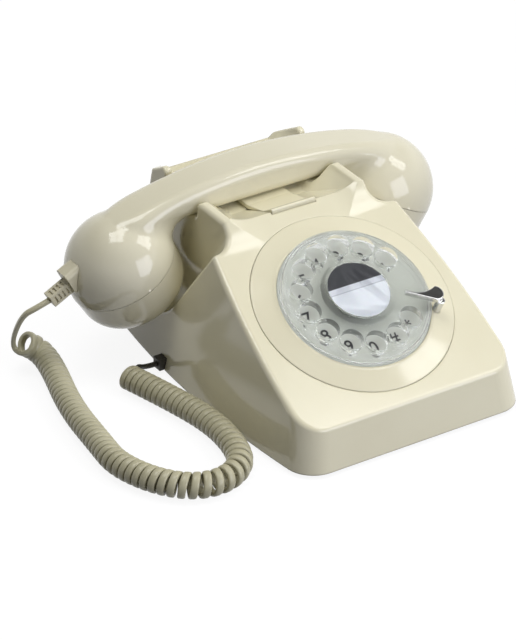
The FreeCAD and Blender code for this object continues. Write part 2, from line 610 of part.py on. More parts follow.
FRAME_LOW = "(sizes.frame_top - sizes.frame_thick)"
GEAR_LOW = "(sizes.gear_top - sizes.gear_thick)"
frame_disc = on_face(turned("frame_disc", [
    ("sizes.shaft_radius + sizes.run_fit", FRAME_LOW), ("sizes.frame_radius", FRAME_LOW),
    ("sizes.frame_radius", "sizes.frame_top"), ("sizes.shaft_radius + 3", "sizes.frame_top"),
    ("sizes.shaft_radius + 3", "sizes.frame_top + 4"),
    ("sizes.shaft_radius + sizes.run_fit", "sizes.frame_top + 4")]))
frame_posts = []
for third in range(3):
    way = "(%d * 1 deg)" % (90 + 120 * third)
    pillar = bind(doc.addObject("Part::Cylinder", "frame_post%d" % third), Radius=2.6,
                  Height="-sizes.wall - 1.4 - sizes.frame_top")
    frame_posts.append(on_face(pillar, "(sizes.frame_radius - 3) * cos%s" % way,
                               "(sizes.frame_radius - 3) * sin%s" % way, "sizes.frame_top"))
frame_whole = fuse("frame_whole", frame_disc, *frame_posts)
PINION_APART = "(sizes.gear_module * (sizes.gear_teeth + sizes.pinion_teeth) / 2)"
PINION_U = "(%s * cos(sizes.pinion_angle * 1 deg))" % PINION_APART
PINION_V = "(%s * sin(sizes.pinion_angle * 1 deg))" % PINION_APART
spindle_bore = on_face(bind(doc.addObject("Part::Cylinder", "spindle_bore"), Height=20,
                            Radius="sizes.spindle_radius + sizes.run_fit"),
                       PINION_U, PINION_V, "sizes.frame_top - 15")
dial_frame = cut("dial_frame", frame_whole, spindle_bore)
contact_block = on_face(bind(doc.addObject("Part::Box", "contact_block"), Length=5, Width=12, Height=7),
                        PINION_U + " - 13.5", PINION_V + " - 6", FRAME_LOW + " - 7")
contact_leaf = on_face(bind(doc.addObject("Part::Box", "contact_leaf"), Length=4, Width=3, Height=1),
                       PINION_U + " - 9", PINION_V + " - 1.5", GEAR_LOW + " - 2")
pulse_contacts = fuse("pulse_contacts", contact_block, contact_leaf)

# Dial, turning: the clear finger wheel with its hub, the label under a window, the shaft and the gear.

finger_wheel = on_face(turned("finger_wheel", [
    ("sizes.shaft_radius + sizes.run_fit", "sizes.wheel_under"),
    ("sizes.wheel_radius - 2.6", "sizes.wheel_under"), ("sizes.wheel_radius - 2", "sizes.wheel_skirt"),
    ("sizes.wheel_radius - 0.4", "sizes.wheel_skirt"), ("sizes.wheel_radius", "sizes.wheel_skirt + 0.4"),
    ("sizes.wheel_radius", "sizes.wheel_under + 2"), ("sizes.wheel_radius - 2.5", "sizes.wheel_top"),
    ("sizes.hub_radius + 1.9", "sizes.wheel_top"), ("sizes.hub_radius", "sizes.hub_top"),
    ("sizes.label_radius + sizes.seat_gap", "sizes.hub_top"),
    ("sizes.label_radius + sizes.seat_gap", "sizes.label_under"),
    ("sizes.shaft_radius + sizes.run_fit", "sizes.label_under")]))
FIRST = "(sizes.first_hole * 1 deg)"
hole_sketch = circle_on(sketch_on(finger_wheel, "hole_sketch", "XY_Plane", "sizes.wheel_top"),
                        "sizes.finger_ring * cos(%s)" % FIRST, "sizes.finger_ring * sin(%s)" % FIRST,
                        "sizes.finger_hole")
patterned(finger_wheel, "wheel_hole", "Pocket", hole_sketch, None, 12, "11 * sizes.finger_pitch")
LABEL = "sizes.label_under + 0.05"
dial_label = on_face(cylinder("dial_label", "sizes.label_radius", "sizes.label_thick"), "0", "0", LABEL)
label_window = on_face(cylinder("label_window", "sizes.label_radius", "sizes.window_thick"), "0", "0",
                       LABEL + " + sizes.label_thick")
DRUM_LOW = "(%s - sizes.drum_deep)" % GEAR_LOW
dial_shaft = on_face(cylinder("dial_shaft", "sizes.shaft_radius", "sizes.label_under - %s + 1" % DRUM_LOW),
                     "0", "0", DRUM_LOW + " - 1")


def toothed(name, teeth, bore):
    """A gear wheel with plain slim teeth, the first of them along its X axis."""
    pitch = "(sizes.gear_module * %s / 2)" % teeth
    root = "(%s - 1.2 * sizes.gear_module)" % pitch
    tip = "(%s + 0.8 * sizes.gear_module)" % pitch
    wheel = turned(name, [(bore, GEAR_LOW), (root, GEAR_LOW), (root, "sizes.gear_top"),
                          (bore, "sizes.gear_top")])
    tooth = trace(sketch_on(wheel, name + "_tooth_outline", "XY_Plane", GEAR_LOW), [
        (root + " - 0.3", "-0.8 * sizes.gear_module"), (tip, "-0.35 * sizes.gear_module"),
        (tip, "0.35 * sizes.gear_module"), (root + " - 0.3", "0.8 * sizes.gear_module")])
    return patterned(wheel, name + "_tooth", "Pad", tooth, "sizes.gear_thick", teeth, 360)


dial_gear = on_face(toothed("dial_gear", "sizes.gear_teeth", "sizes.shaft_radius + sizes.run_fit"))
spring_drum = on_face(turned("spring_drum", [
    ("sizes.shaft_radius + sizes.run_fit", DRUM_LOW), ("sizes.drum_radius", DRUM_LOW),
    ("sizes.drum_radius", GEAR_LOW + " - 0.2"),
    ("sizes.shaft_radius + sizes.run_fit", GEAR_LOW + " - 0.2")]))
pinion = on_face(toothed("pinion", "sizes.pinion_teeth", "sizes.spindle_radius"), PINION_U, PINION_V)
spindle = on_face(cylinder("spindle", "sizes.spindle_radius", "sizes.frame_top - %s + 3" % GEAR_LOW),
                  PINION_U, PINION_V, GEAR_LOW + " - 3")
cam = on_face(bind(doc.addObject("Part::Box", "cam"), Length=7, Width=2.4, Height=2.4),
              PINION_U + " - 3.5", PINION_V + " - 1.2", GEAR_LOW + " - 2.8")
pulse_spindle = fuse("pulse_spindle", pinion, spindle, cam)

# Cradle: a flat bar that the handle presses down, on a stem over a spring and the hook switch.

BAR_TOP = "(sizes.handle_bottom - sizes.saddle_gap)"
BAR_LOW = "(%s - sizes.bar_thick)" % BAR_TOP
SLOPE_END = "sizes.lip_back + sizes.trough_slope_run"
bar_sharp = side_cutter("bar_sharp", [
    ("sizes.bar_front_back", "sizes.bar_front_height"),
    ("sizes.lip_back + 8", "sizes.bar_front_height - 5.6"),
    (SLOPE_END, BAR_TOP), (HANDLE_REAR, BAR_TOP), (HANDLE_REAR, BAR_LOW), (SLOPE_END + " + 0.6", BAR_LOW),
    ("sizes.lip_back + 8", "sizes.bar_front_height - 8.4"),
    ("sizes.bar_front_back + 2", "sizes.bar_front_height - 5"),
    ("sizes.bar_front_back", "sizes.bar_front_height - 5")], "2 * sizes.bar_half")
bar_soft = rounded("bar_soft", bar_sharp, 1, lambda e: e.BoundBox.XLength > 1 and (
    abs(e.BoundBox.ZMax - number(above("sizes.bar_front_height"))) < 0.01))
bar_stem = block("bar_stem", 8, 5, "sizes.stem_long", "0", STEM_Y, above(BAR_LOW + " - sizes.stem_long"))
hook_bar = fuse("hook_bar", bar_soft, bar_stem)
STEM_END = above(BAR_LOW + " - sizes.stem_long")
hook_spring_core = cylinder("hook_spring_core", 2.4, "%s - sizes.switch_top" % STEM_END, "0", STEM_Y,
                            "sizes.switch_top")
hook_spring_tube = cylinder("hook_spring_tube", 3.4, "%s - sizes.switch_top" % STEM_END, "0", STEM_Y,
                            "sizes.switch_top")
hook_spring = cut("hook_spring", hook_spring_tube, hook_spring_core)
hook_switch = block("hook_switch", 14, 16, "sizes.switch_top - " + BASE_TOP, "0", STEM_Y + " + 2", BASE_TOP)

# Inside: the circuit board, two gongs with a clapper between them and the coil that drives it.

circuit_board = block("circuit_board", "sizes.board_x", "sizes.board_y", 1.6, "0", BOARD_Y,
                      "sizes.board_at")
BOARD_TOP = "(sizes.board_at + 1.6)"
components = [block("transformer", 18, 16, 11, -18, BOARD_Y - 8, BOARD_TOP),
              block("bridge", 14, 8, 5, 14, BOARD_Y - 14, BOARD_TOP),
              block("terminals", 24, 7, 6, 12, BOARD_Y + 14, BOARD_TOP),
              cylinder("capacitor", 4, 10, -4, BOARD_Y + 4, BOARD_TOP),
              cylinder("small_capacitor", 3, 8, 8, BOARD_Y, BOARD_TOP)]
board_components = group("board_components", *components)
GONG_TOP = "(sizes.gong_under + sizes.gong_height)"
CLAPPER_Y = behind("sizes.clapper_back")


def gong(name, side):
    crown = "sizes.gong_radius - 5"
    cup = turned(name, [
        ("sizes.gong_radius - sizes.gong_wall", "sizes.gong_under"),
        ("sizes.gong_radius", "sizes.gong_under"),
        ("sizes.gong_radius", GONG_TOP + " - 5", 5, -1), (crown, GONG_TOP), (2.2, GONG_TOP),
        (2.2, GONG_TOP + " - sizes.gong_wall"),
        (crown, GONG_TOP + " - sizes.gong_wall", "5 - sizes.gong_wall", 1),
        ("sizes.gong_radius - sizes.gong_wall", GONG_TOP + " - 5")])
    return put(cup, "%d * sizes.gong_x" % side, GONG_Y)


bell_gong_left = gong("bell_gong_left", -1)
bell_gong_right = gong("bell_gong_right", 1)
gong_screws = []
for side in (-1, 1):
    x = "%d * sizes.gong_x" % side
    head = cylinder("gong_head%d" % side, 4, 2, x, GONG_Y, GONG_TOP)
    shank = cylinder("gong_shank%d" % side, 2, 10, x, GONG_Y, GONG_TOP + " - 10")
    gong_screws.append(fuse("gong_screw%d" % side, head, shank))
bell_screws = group("bell_screws", *gong_screws)
yoke_base = block("yoke_base", 34, 24, 4, "0", CLAPPER_Y + " - 9", BASE_TOP)
yoke_cheeks = [block("yoke_cheek%d" % side, 4, 14, 22, "%d * 15" % side, CLAPPER_Y + " - 14", BASE_TOP)
               for side in (-1, 1)]
ringer_yoke = fuse("ringer_yoke", yoke_base, *yoke_cheeks)
SIDEWAYS = FreeCAD.Vector(0, 1, 0)
ringer_coil = cylinder("ringer_coil", 7, 26, -13, CLAPPER_Y + " - 14", BASE_TOP + " + 13", SIDEWAYS, 90)
CLAPPER_Z = "(sizes.gong_under + 4)"
clapper_pin = cylinder("clapper_pin", 1, "%s + 5 - %s - 4" % (CLAPPER_Z, BASE_TOP), "0", CLAPPER_Y,
                       BASE_TOP + " + 4")
clapper_hub = cylinder("clapper_hub", 3, 4, "0", CLAPPER_Y, CLAPPER_Z)
clapper_arm = block("clapper_arm", 2, "sizes.gong_back - sizes.clapper_back", 2, "0",
                    "(%s + %s) / 2" % (GONG_Y, CLAPPER_Y), CLAPPER_Z + " + 1")
clapper_hammer = cylinder("clapper_hammer", "sizes.hammer_radius", 6, "0", GONG_Y,
                          CLAPPER_Z + " - 1")
clapper_whole = fuse("clapper_whole", clapper_hub, clapper_arm, clapper_hammer)
clapper_bore = cylinder("clapper_bore", "1 + sizes.run_fit", 20, "0", CLAPPER_Y, CLAPPER_Z + " - 8")
clapper = cut("clapper", clapper_whole, clapper_bore)


# Handset: an arched handle lofted into a round bulb at each end, each bulb closed by a cap that
# faces down and inward, with a capsule behind it.

def handle_section(x, bottom, top, wide, corner):
    """A section of the handle, upright across it, with four straight sides and round corners."""
    middle = FreeCAD.Vector(x, number(BULB_Y), size("foot_gap") + (top + bottom) / 2)
    tall = (top - bottom) / 2
    edges = []
    for across, rise in ((1, 1), (1, -1), (-1, -1), (-1, 1)):
        centre = middle + FreeCAD.Vector(0, across * (wide - corner), rise * (tall - corner))
        over = centre + FreeCAD.Vector(0, 0, rise * corner)
        beside = centre + FreeCAD.Vector(0, across * corner, 0)
        crown = centre + FreeCAD.Vector(0, across, rise) * (corner / math.sqrt(2))
        first, last = (over, beside) if across * rise > 0 else (beside, over)
        if edges:
            edges.append(Part.LineSegment(edges[-1].Vertexes[-1].Point, first).toShape())
        edges.append(Part.Arc(first, crown, last).toShape())
    edges.append(Part.LineSegment(edges[-1].Vertexes[-1].Point, edges[0].Vertexes[0].Point).toShape())
    return Part.Wire(edges)


def handle_half():
    """Sections from the middle of the handle out to where its end is sunk in the bulb."""
    apart = size("bulb_apart")
    bulb = size("bulb_radius")
    wide = size("handle_width") / 2
    low = size("handle_bottom")
    arch = size("handle_arch")
    corner = size("handle_round")
    sections = []
    for part, drop, flare, softer in ((0, 0, 0, 0), (0.33, 0, 0, 0), (0.62, 0, 0, 0.2),
                                      (0.76, 0.05, 0.5, 1), (0.89, 0.32, 1.8, 3), (1, 0.5, 1.5, 4.6),
                                      (1.1, 0.5, -2, 3.6)):
        x = part * apart
        top = size("handle_top") - arch + math.sqrt(arch ** 2 - x ** 2)
        if part > 1:
            top = size("bulb_height") + math.sqrt(bulb ** 2 - (x - apart) ** 2) - 0.4
        sections.append((x, low - drop * bulb, top, wide + flare, corner + softer))
    return sections


right_half = handle_half()
left_half = [(-section[0],) + section[1:] for section in reversed(right_half[1:])]
handle_form = doc.addObject("Part::Feature", "handle_form")
handle_form.Shape = Part.makeLoft([handle_section(*each) for each in left_half + right_half], True, False)


def on_bulb(thing, side, along="0"):
    """Set a piece that was built upright on a bulb's axis, along it toward the cap."""
    tilt = "(sizes.cap_tilt * 1 deg)"
    return put(thing, "%d * (sizes.bulb_apart - (%s) * sin(%s))" % (side, along, tilt), BULB_Y,
               "%s - (%s) * cos(%s)" % (BULB_Z, along, tilt), SIDEWAYS,
               "%d * (sizes.cap_tilt - 180)" % side)


def rod_on_bulb(name, side, radius, height, along):
    return on_bulb(bind(doc.addObject("Part::Cylinder", name), Radius=radius, Height=height), side, along)


domes = []
cavities = []
for side in (-1, 1):
    ball = bind(doc.addObject("Part::Sphere", "bulb%d" % side), Radius="sizes.bulb_radius")
    put(ball, "%d * sizes.bulb_apart" % side, BULB_Y, BULB_Z, FreeCAD.Vector(-1, 1, 1), 120)
    cap_side = rod_on_bulb("cap_side%d" % side, side, "sizes.bulb_radius + 1", "2 * sizes.bulb_radius", "0")
    domes.append(cut("dome%d" % side, ball, cap_side))
    cavities.append(rod_on_bulb("cavity%d" % side, side, "sizes.cavity_radius", "sizes.cavity_deep + 1",
                                "-sizes.cavity_deep"))
EXIT = "(sizes.exit_tilt * 1 deg)"
EXIT_X = "(sizes.bulb_apart + sizes.bulb_radius + sizes.exit_out)"


def on_exit(thing, along="0", across="0"):
    """Set a piece on the line that the cord leaves the left bulb on."""
    x = "-%s - (%s) * sin(%s) + (%s) * cos(%s)" % (EXIT_X, along, EXIT, across, EXIT)
    lift = "(%s) * cos(%s) + (%s) * sin(%s)" % (along, EXIT, across, EXIT)
    z = "%s + %s" % (above("sizes.exit_height"), lift)
    return put(thing, x, BULB_Y, z, SIDEWAYS, "-sizes.exit_tilt")


boss_box = bind(doc.addObject("Part::Box", "boss_box"), Length="sizes.boss_tall", Width="sizes.boss_wide",
                Height="sizes.boss_long")
put(on_exit(boss_box, "-sizes.boss_long", "-sizes.boss_low"), y="%s - sizes.boss_wide / 2" % BULB_Y)
doc.recompute()
exit_way = boss_box.Placement.Rotation.multVec(UP)
exit_boss = rounded("exit_boss", boss_box, 3, lambda e: abs(e.tangentAt(0).dot(exit_way)) > 0.9)
exit_ball = put(bind(doc.addObject("Part::Sphere", "exit_ball"), Radius="sizes.bulb_radius + 0.1"),
                "-sizes.bulb_apart", BULB_Y, BULB_Z)
relief_boss = cut("relief_boss", exit_boss, exit_ball)
handset_solid = fuse("handset_solid", handle_form, *domes)


def on_neck(edge):
    """The line along which the handle runs into a bulb."""
    faces = handset_solid.Shape.ancestorsOfType(edge, Part.Face)
    return {type(face.Surface).__name__ for face in faces} == {"BSplineSurface", "Sphere"}


handset_soft = rounded("handset_soft", handset_solid, size("neck_round"), on_neck)
handset_shell = cut("handset_shell", handset_soft, *cavities)


def cap(name, side, ring, holes):
    """A shell turned on the bulb's axis, with sound holes in its front."""
    rim = "(sizes.bulb_radius - 0.1)"
    bend = "(sizes.cap_reach - 15)"
    wall = "sizes.cap_wall"
    shell = turned(name, [
        (rim + " - " + wall, "sizes.cap_fit"), (rim, "sizes.cap_fit"), (rim + " - 0.8", bend, 17, -1),
        ("sizes.cap_front", "sizes.cap_reach"), ("0", "sizes.cap_reach"),
        ("0", "sizes.cap_reach - " + wall),
        ("sizes.cap_front - 0.5", "sizes.cap_reach - " + wall, "17 - " + wall, 1),
        (rim + " - 0.8 - " + wall, bend)])
    hole = circle_on(sketch_on(shell, name + "_hole_outline", "XY_Plane", "sizes.cap_reach"), ring, "0",
                     1.4)
    return on_bulb(patterned(shell, name + "_hole", "Pocket", hole, 2 * size("cap_wall"), holes, 360), side)


ear_cap = cap("ear_cap", 1, 7, 6)
mouth_cap = cap("mouth_cap", -1, 10, 8)
receiver_capsule = rod_on_bulb("receiver_capsule", 1, "sizes.capsule_radius", "sizes.capsule_deep",
                               "-sizes.cavity_deep")
microphone_capsule = rod_on_bulb("microphone_capsule", -1, "sizes.capsule_radius", "sizes.capsule_deep",
                                 "-sizes.cavity_deep")


def relief_block(name, length, width, height, along, across, aside):
    box = bind(doc.addObject("Part::Box", name), Length=length, Width=width, Height=height)
    on_exit(box, along, across)
    return put(box, y="%s + (%s)" % (BULB_Y, aside))


WIDE = "sizes.relief_wide"
relief_sleeve = relief_block("relief_sleeve", WIDE, WIDE, "sizes.relief_long", "0", "-%s / 2" % WIDE,
                             "-%s / 2" % WIDE)
slots = []
for step in range(4):
    along = "(0.16 + 0.2 * %d) * sizes.relief_long" % step
    for edge in ("-%s / 2 - 0.5" % WIDE, "%s / 2 - 1" % WIDE):
        slots.append(relief_block("relief_slot%d" % len(slots), 1.5, "0.6 * " + WIDE, 1.2, along, edge,
                                  "-0.3 * " + WIDE))
        slots.append(relief_block("relief_slot%d" % len(slots), "0.6 * " + WIDE, 1.5, 1.2, along,
                                  "-0.3 * " + WIDE, edge))
relief_slotted = cut("relief_slotted", relief_sleeve, *slots)
handset_cord_relief = fuse("handset_cord_relief", relief_boss, relief_slotted)

# Handset cord: a lead from the handset, the curly part lying on the table and a tail into the case.

WIRE = size("cord")
COIL_MEAN = (size("coil") - WIRE) / 2
COIL_Z = size("coil") / 2 + 0.1
CASE_SIDE = -size("side_half")
COIL_AXIS = [(53.1, 86.2), (53.7, 59.8), (65.2, 17.7), (70, -23.4), (72.4, -43.8), (64.4, -68.3),
             (50, -84.7), (32.3, -87.9), (16.9, -79.2), (10.4, -61.6), (8.4, -36.8), (14, -5),
             (22.95, 28.35)]
axis_curve = Part.BSplineCurve()
axis_curve.buildFromPoles([FreeCAD.Vector(CASE_SIDE - out, y, COIL_Z) for out, y in COIL_AXIS], False, 2)
AXIS_LONG = axis_curve.length()


def axis_frame(along):
    """Point on the coil's axis, its direction and the level direction to its right."""
    at = axis_curve.parameterAtDistance(along)
    ahead = axis_curve.tangent(at)[0]
    return axis_curve.value(at), ahead, FreeCAD.Vector(ahead.y, -ahead.x, 0)


def pitch_at(along):
    """The coil lies closed along its straights and is opened by the bend at the front."""
    bend = math.exp(-((along / AXIS_LONG - 0.61) / 0.13) ** 2)
    return size("closed_pitch") + (size("open_pitch") - size("closed_pitch")) * bend


def coil_turning():
    """Distances along the axis at even steps of a twelfth of a turn, for whole turns and 5/6."""
    stations = [0.0]
    while stations[-1] < AXIS_LONG:
        stations.append(stations[-1] + pitch_at(stations[-1]) / 12)
    last = (len(stations) - 1 - 10) // 12 * 12 + 10
    stretch = AXIS_LONG / stations[last]
    return [station * stretch for station in stations[:last + 1]]


STATIONS = coil_turning()


def coil_point(step):
    low = min(int(step), len(STATIONS) - 2)
    along = STATIONS[low] + (step - low) * (STATIONS[low + 1] - STATIONS[low])
    middle, ahead, right = axis_frame(along)
    turn = math.pi * step / 6
    return middle + right * COIL_MEAN * math.cos(turn) - UP * COIL_MEAN * math.sin(turn)


def coil_way(step):
    near = max(step - 0.05, 0)
    far = min(step + 0.05, len(STATIONS) - 1)
    return (coil_point(far) - coil_point(near)).normalize()


def biarc(start, way_in, stop, way_out):
    """Two arcs that join two points and keep both directions."""
    span = stop - start
    both = span.dot(way_in + way_out)
    bend = 2 * (1 - way_in.dot(way_out))
    reach = (-both + math.sqrt(both ** 2 + bend * span.dot(span))) / bend
    middle = (start + stop + (way_in - way_out) * reach) / 2
    arcs = []
    for first, last, corner in ((start, middle, start + way_in * reach),
                                (middle, stop, stop - way_out * reach)):
        centre = (first + last) / 2
        half = (last - first).Length / 2
        out = corner - centre
        sag = half * math.tan(math.atan2(out.Length, half) / 2)
        arcs.append(Part.Arc(first, centre + out.normalize() * sag, last).toShape())
    return arcs


def ring_about(point, way, sides):
    """The wire's section, square to the way that it runs."""
    across = way.cross(UP) if abs(way.z) < 0.9 else way.cross(ACROSS)
    across.normalize()
    other = way.cross(across)
    corners = [point + across * (WIRE / 2 * math.cos(2 * math.pi * k / sides))
               + other * (WIRE / 2 * math.sin(2 * math.pi * k / sides)) for k in range(sides)]
    return Part.makePolygon(corners + corners[:1])


def swept(name, edges, start, way, sides):
    tube = doc.addObject("Part::Feature", name)
    tube.Shape = Part.Wire(edges).makePipeShell([ring_about(start, way, sides)], True, False)
    return tube


LAST = len(STATIONS) - 1
curl_start = coil_point(0)
curl_way_in = coil_way(0)
curl_stop = coil_point(LAST)
curl_way_out = coil_way(LAST)
lead_end = curl_start - curl_way_in * WIRE
tail_start = curl_stop + curl_way_out * WIRE
curl_edges = [Part.LineSegment(lead_end, curl_start).toShape()]
step = 0
while step < LAST:
    after = min(step + 6, LAST)
    curl_edges += biarc(coil_point(step), coil_way(step), coil_point(after), coil_way(after))
    step = after
curl_edges.append(Part.LineSegment(curl_stop, tail_start).toShape())
cord_curl = swept("cord_curl", curl_edges, lead_end, curl_way_in, 6)


def least_gap():
    """Smallest clear gap between neighbouring turns, on points along the wire."""
    fine = [coil_point(k / 2) for k in range(2 * LAST + 1)]
    gaps = [(here - there).Length for i, here in enumerate(fine) for there in fine[i + 14:i + 36]]
    return min(gaps) - WIRE


print("curly cord: %.1f turns, least gap to itself %.2f mm" % (LAST / 12, least_gap()))


def routed(name, corners, sides):
    """A tube along straight runs that are joined by tangent arcs."""
    edges = []
    here = corners[0]
    length = 0
    for before, corner, after in zip(corners, corners[1:], corners[2:]):
        way_in = (corner - before).normalize()
        way_out = (after - corner).normalize()
        half_turn = math.acos(max(-1, min(1, way_in.dot(way_out)))) / 2
        trim = 0.45 * min((corner - before).Length, (after - corner).Length)
        print("%s: bend radius %.1f mm" % (name, trim / math.tan(half_turn)))
        first = corner - way_in * trim
        last = corner + way_out * trim
        inward = (way_out - way_in).normalize()
        crown = (first + last) / 2 - inward * (trim * math.cos(half_turn) * math.tan(half_turn / 2))
        edges.append(Part.LineSegment(here, first).toShape())
        edges.append(Part.Arc(first, crown, last).toShape())
        here = last
    edges.append(Part.LineSegment(here, corners[-1]).toShape())
    wire = Part.Wire(edges)
    print("%s: %.1f mm long" % (name, wire.Length))
    return swept(name, edges, corners[0], (corners[1] - corners[0]).normalize(), sides)


lean = math.radians(size("exit_tilt"))
exit_way = FreeCAD.Vector(-math.sin(lean), 0, math.cos(lean))
relief_end = FreeCAD.Vector(-number(EXIT_X), number(BULB_Y), number(above("sizes.exit_height")))
relief_end += exit_way * size("relief_long")
LEAD_ROUTE = [(67.2, 65.6, 40.4), (68, 71.2, 37.3), (66.2, 77.2, 33.8), (63.2, 82.5, 29)]
cord_lead = routed("cord_lead", [relief_end, relief_end + exit_way * 10.3]
                   + [FreeCAD.Vector(CASE_SIDE - out, y, z) for out, y, z in LEAD_ROUTE]
                   + [lead_end - curl_way_in * 9.8, lead_end], 8)
grommet_face = FreeCAD.Vector(CASE_SIDE - 1.5, CORD_Y, number(FLOOR) + 3.5)
cord_tail = routed("cord_tail", [tail_start, grommet_face - ACROSS * 7.4, grommet_face], 8)

# Every piece is checked and written to a file of its own.

PIECES = [
    upper_case, base_plate, rubber_feet, case_screws, line_socket, cord_grommet,
    dial_surround, number_plate, finger_stop, dial_frame, pulse_contacts,
    finger_wheel, dial_label, label_window, dial_shaft, dial_gear, spring_drum, pulse_spindle,
    hook_bar, hook_spring, hook_switch,
    circuit_board, board_components, bell_gong_left, bell_gong_right, bell_screws,
    ringer_yoke, ringer_coil, clapper, clapper_pin,
    handset_shell, ear_cap, mouth_cap, receiver_capsule, microphone_capsule, handset_cord_relief,
    cord_lead, cord_curl, cord_tail]
doc.recompute()
for thing in doc.Objects:
    if "Invalid" in thing.State or "Error" in thing.State:
        raise RuntimeError("%s did not rebuild" % thing.Label)
os.makedirs("parts", exist_ok=True)
for piece in PIECES:
    if piece.Shape.isNull() or not piece.Shape.isValid():
        raise RuntimeError("%s is not a sound solid" % piece.Label)
    piece.Shape.exportStep("parts/%s.step" % piece.Label)
print("%d pieces written" % len(PIECES))
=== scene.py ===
import bpy
import bmesh
import math
from mathutils import Matrix, Vector


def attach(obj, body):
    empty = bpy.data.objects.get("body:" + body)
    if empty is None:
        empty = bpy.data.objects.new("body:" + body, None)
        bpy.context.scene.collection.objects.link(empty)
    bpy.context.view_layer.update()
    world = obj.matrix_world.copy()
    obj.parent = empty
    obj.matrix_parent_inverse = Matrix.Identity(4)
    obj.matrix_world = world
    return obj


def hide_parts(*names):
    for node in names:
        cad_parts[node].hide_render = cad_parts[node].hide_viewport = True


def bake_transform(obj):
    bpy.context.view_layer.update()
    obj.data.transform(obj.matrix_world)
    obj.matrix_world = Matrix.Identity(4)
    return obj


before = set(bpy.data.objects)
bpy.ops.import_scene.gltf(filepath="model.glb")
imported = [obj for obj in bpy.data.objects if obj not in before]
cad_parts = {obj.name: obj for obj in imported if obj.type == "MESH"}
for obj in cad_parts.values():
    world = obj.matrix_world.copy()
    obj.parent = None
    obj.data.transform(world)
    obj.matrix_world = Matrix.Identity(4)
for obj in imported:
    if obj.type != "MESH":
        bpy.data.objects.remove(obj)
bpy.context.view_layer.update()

# The view: the telephone seen from its left front corner, a little above, with a long lens.
# The camera stands 1.96 m away and is turned by the three axes below.

camera_right = Vector((0.84394, -0.53643, 0.0))
camera_up = Vector((0.27345, 0.43021, 0.86032))
camera_back = Vector((-0.46150, -0.72606, 0.50976))
camera_turn = Matrix((camera_right, camera_up, camera_back)).transposed()
bpy.ops.object.camera_add(location=(-0.92263, -1.39800, 1.01802), rotation=camera_turn.to_euler())
camera = bpy.context.active_object
camera.data.lens = 199.07
camera.data.sensor_width = 36.0
camera.data.clip_end = 20.0
bpy.context.scene.camera = camera
bpy.context.scene.view_settings.view_transform = "Standard"

# The floor: an even matt board that looks white to the eye and in reflections, and lights the
# telephone from below only as a pale grey would. It keeps the telephone's shadow.


def new_material(name):
    material = bpy.data.materials.new(name)
    material.use_nodes = True
    return material, material.node_tree.nodes, material.node_tree.links


def either_ray(nodes, links, *kinds):
    """One for a ray of any of the kinds named, else nothing."""
    path = nodes.new("ShaderNodeLightPath")
    found = path.outputs[kinds[0]]
    for kind in kinds[1:]:
        either = nodes.new("ShaderNodeMath")
        either.operation = "MAXIMUM"
        links.new(found, either.inputs[0])
        links.new(path.outputs[kind], either.inputs[1])
        found = either.outputs[0]
    return found


bpy.ops.object.select_all(action="DESELECT")
bpy.ops.mesh.primitive_plane_add(size=9.0, location=(0, 0, 0))
floor = bpy.context.active_object
floor.name = "studio_floor"
white_floor, nodes, links = new_material("white_floor")
matt = nodes["Principled BSDF"]
matt.inputs["Base Color"].default_value = (0.14, 0.14, 0.14, 1.0)
matt.inputs["Roughness"].default_value = 0.9
matt.inputs["Specular IOR Level"].default_value = 0.0
matt.inputs["Emission Color"].default_value = (1.0, 1.0, 1.0, 1.0)
glow = nodes.new("ShaderNodeMath")
glow.operation = "MULTIPLY"
glow.inputs[1].default_value = 0.90
seen = either_ray(nodes, links, "Is Camera Ray", "Is Glossy Ray", "Is Transmission Ray")
links.new(seen, glow.inputs[0])
links.new(glow.outputs[0], matt.inputs["Emission Strength"])
floor.data.materials.append(white_floor)

# The room: soft light from overhead that fades towards the floor, two four-pane windows above the
# telephone, one over its back and one over its right shoulder, and a weaker light from the front.
# Reflections see a room that is white at eye level and darker overhead.


def sky_strength(nodes, links, height, low, high, foot, crown):
    """Strength that runs from one value at the foot of a span of heights to another at its crown."""
    span = nodes.new("ShaderNodeMapRange")
    span.interpolation_type = "SMOOTHSTEP"
    span.inputs["From Min"].default_value = low
    span.inputs["From Max"].default_value = high
    span.inputs["To Min"].default_value = foot
    span.inputs["To Max"].default_value = crown
    links.new(height, span.inputs["Value"])
    return span.outputs[0]


world = bpy.context.scene.world or bpy.data.worlds.new("studio")
bpy.context.scene.world = world
world.use_nodes = True
nodes, links = world.node_tree.nodes, world.node_tree.links
nodes.clear()
way = nodes.new("ShaderNodeTexCoord")
rise = nodes.new("ShaderNodeSeparateXYZ")
links.new(way.outputs["Generated"], rise.inputs[0])
sunward = nodes.new("ShaderNodeVectorMath")
sunward.operation = "DOT_PRODUCT"
sunward.inputs[1].default_value = (0.38, 0.06, 0.92)
links.new(way.outputs["Generated"], sunward.inputs[0])
mirrored = nodes.new("ShaderNodeMix")
links.new(either_ray(nodes, links, "Is Glossy Ray"), mirrored.inputs["Factor"])
soft_light = sky_strength(nodes, links, sunward.outputs["Value"], 0.10, 0.95, 0.04, 0.66)
reflected = sky_strength(nodes, links, rise.outputs["Z"], 0.25, 0.75, 1.0, 0.10)
links.new(soft_light, mirrored.inputs["A"])
links.new(reflected, mirrored.inputs["B"])
level = nodes.new("ShaderNodeMix")
links.new(either_ray(nodes, links, "Is Camera Ray", "Is Transmission Ray"), level.inputs["Factor"])
links.new(mirrored.outputs["Result"], level.inputs["A"])
level.inputs["B"].default_value = 1.0
sky = nodes.new("ShaderNodeBackground")
sky.inputs["Color"].default_value = (1.0, 1.0, 1.0, 1.0)
links.new(level.outputs["Result"], sky.inputs["Strength"])
out = nodes.new("ShaderNodeOutputWorld")
links.new(sky.outputs[0], out.inputs["Surface"])

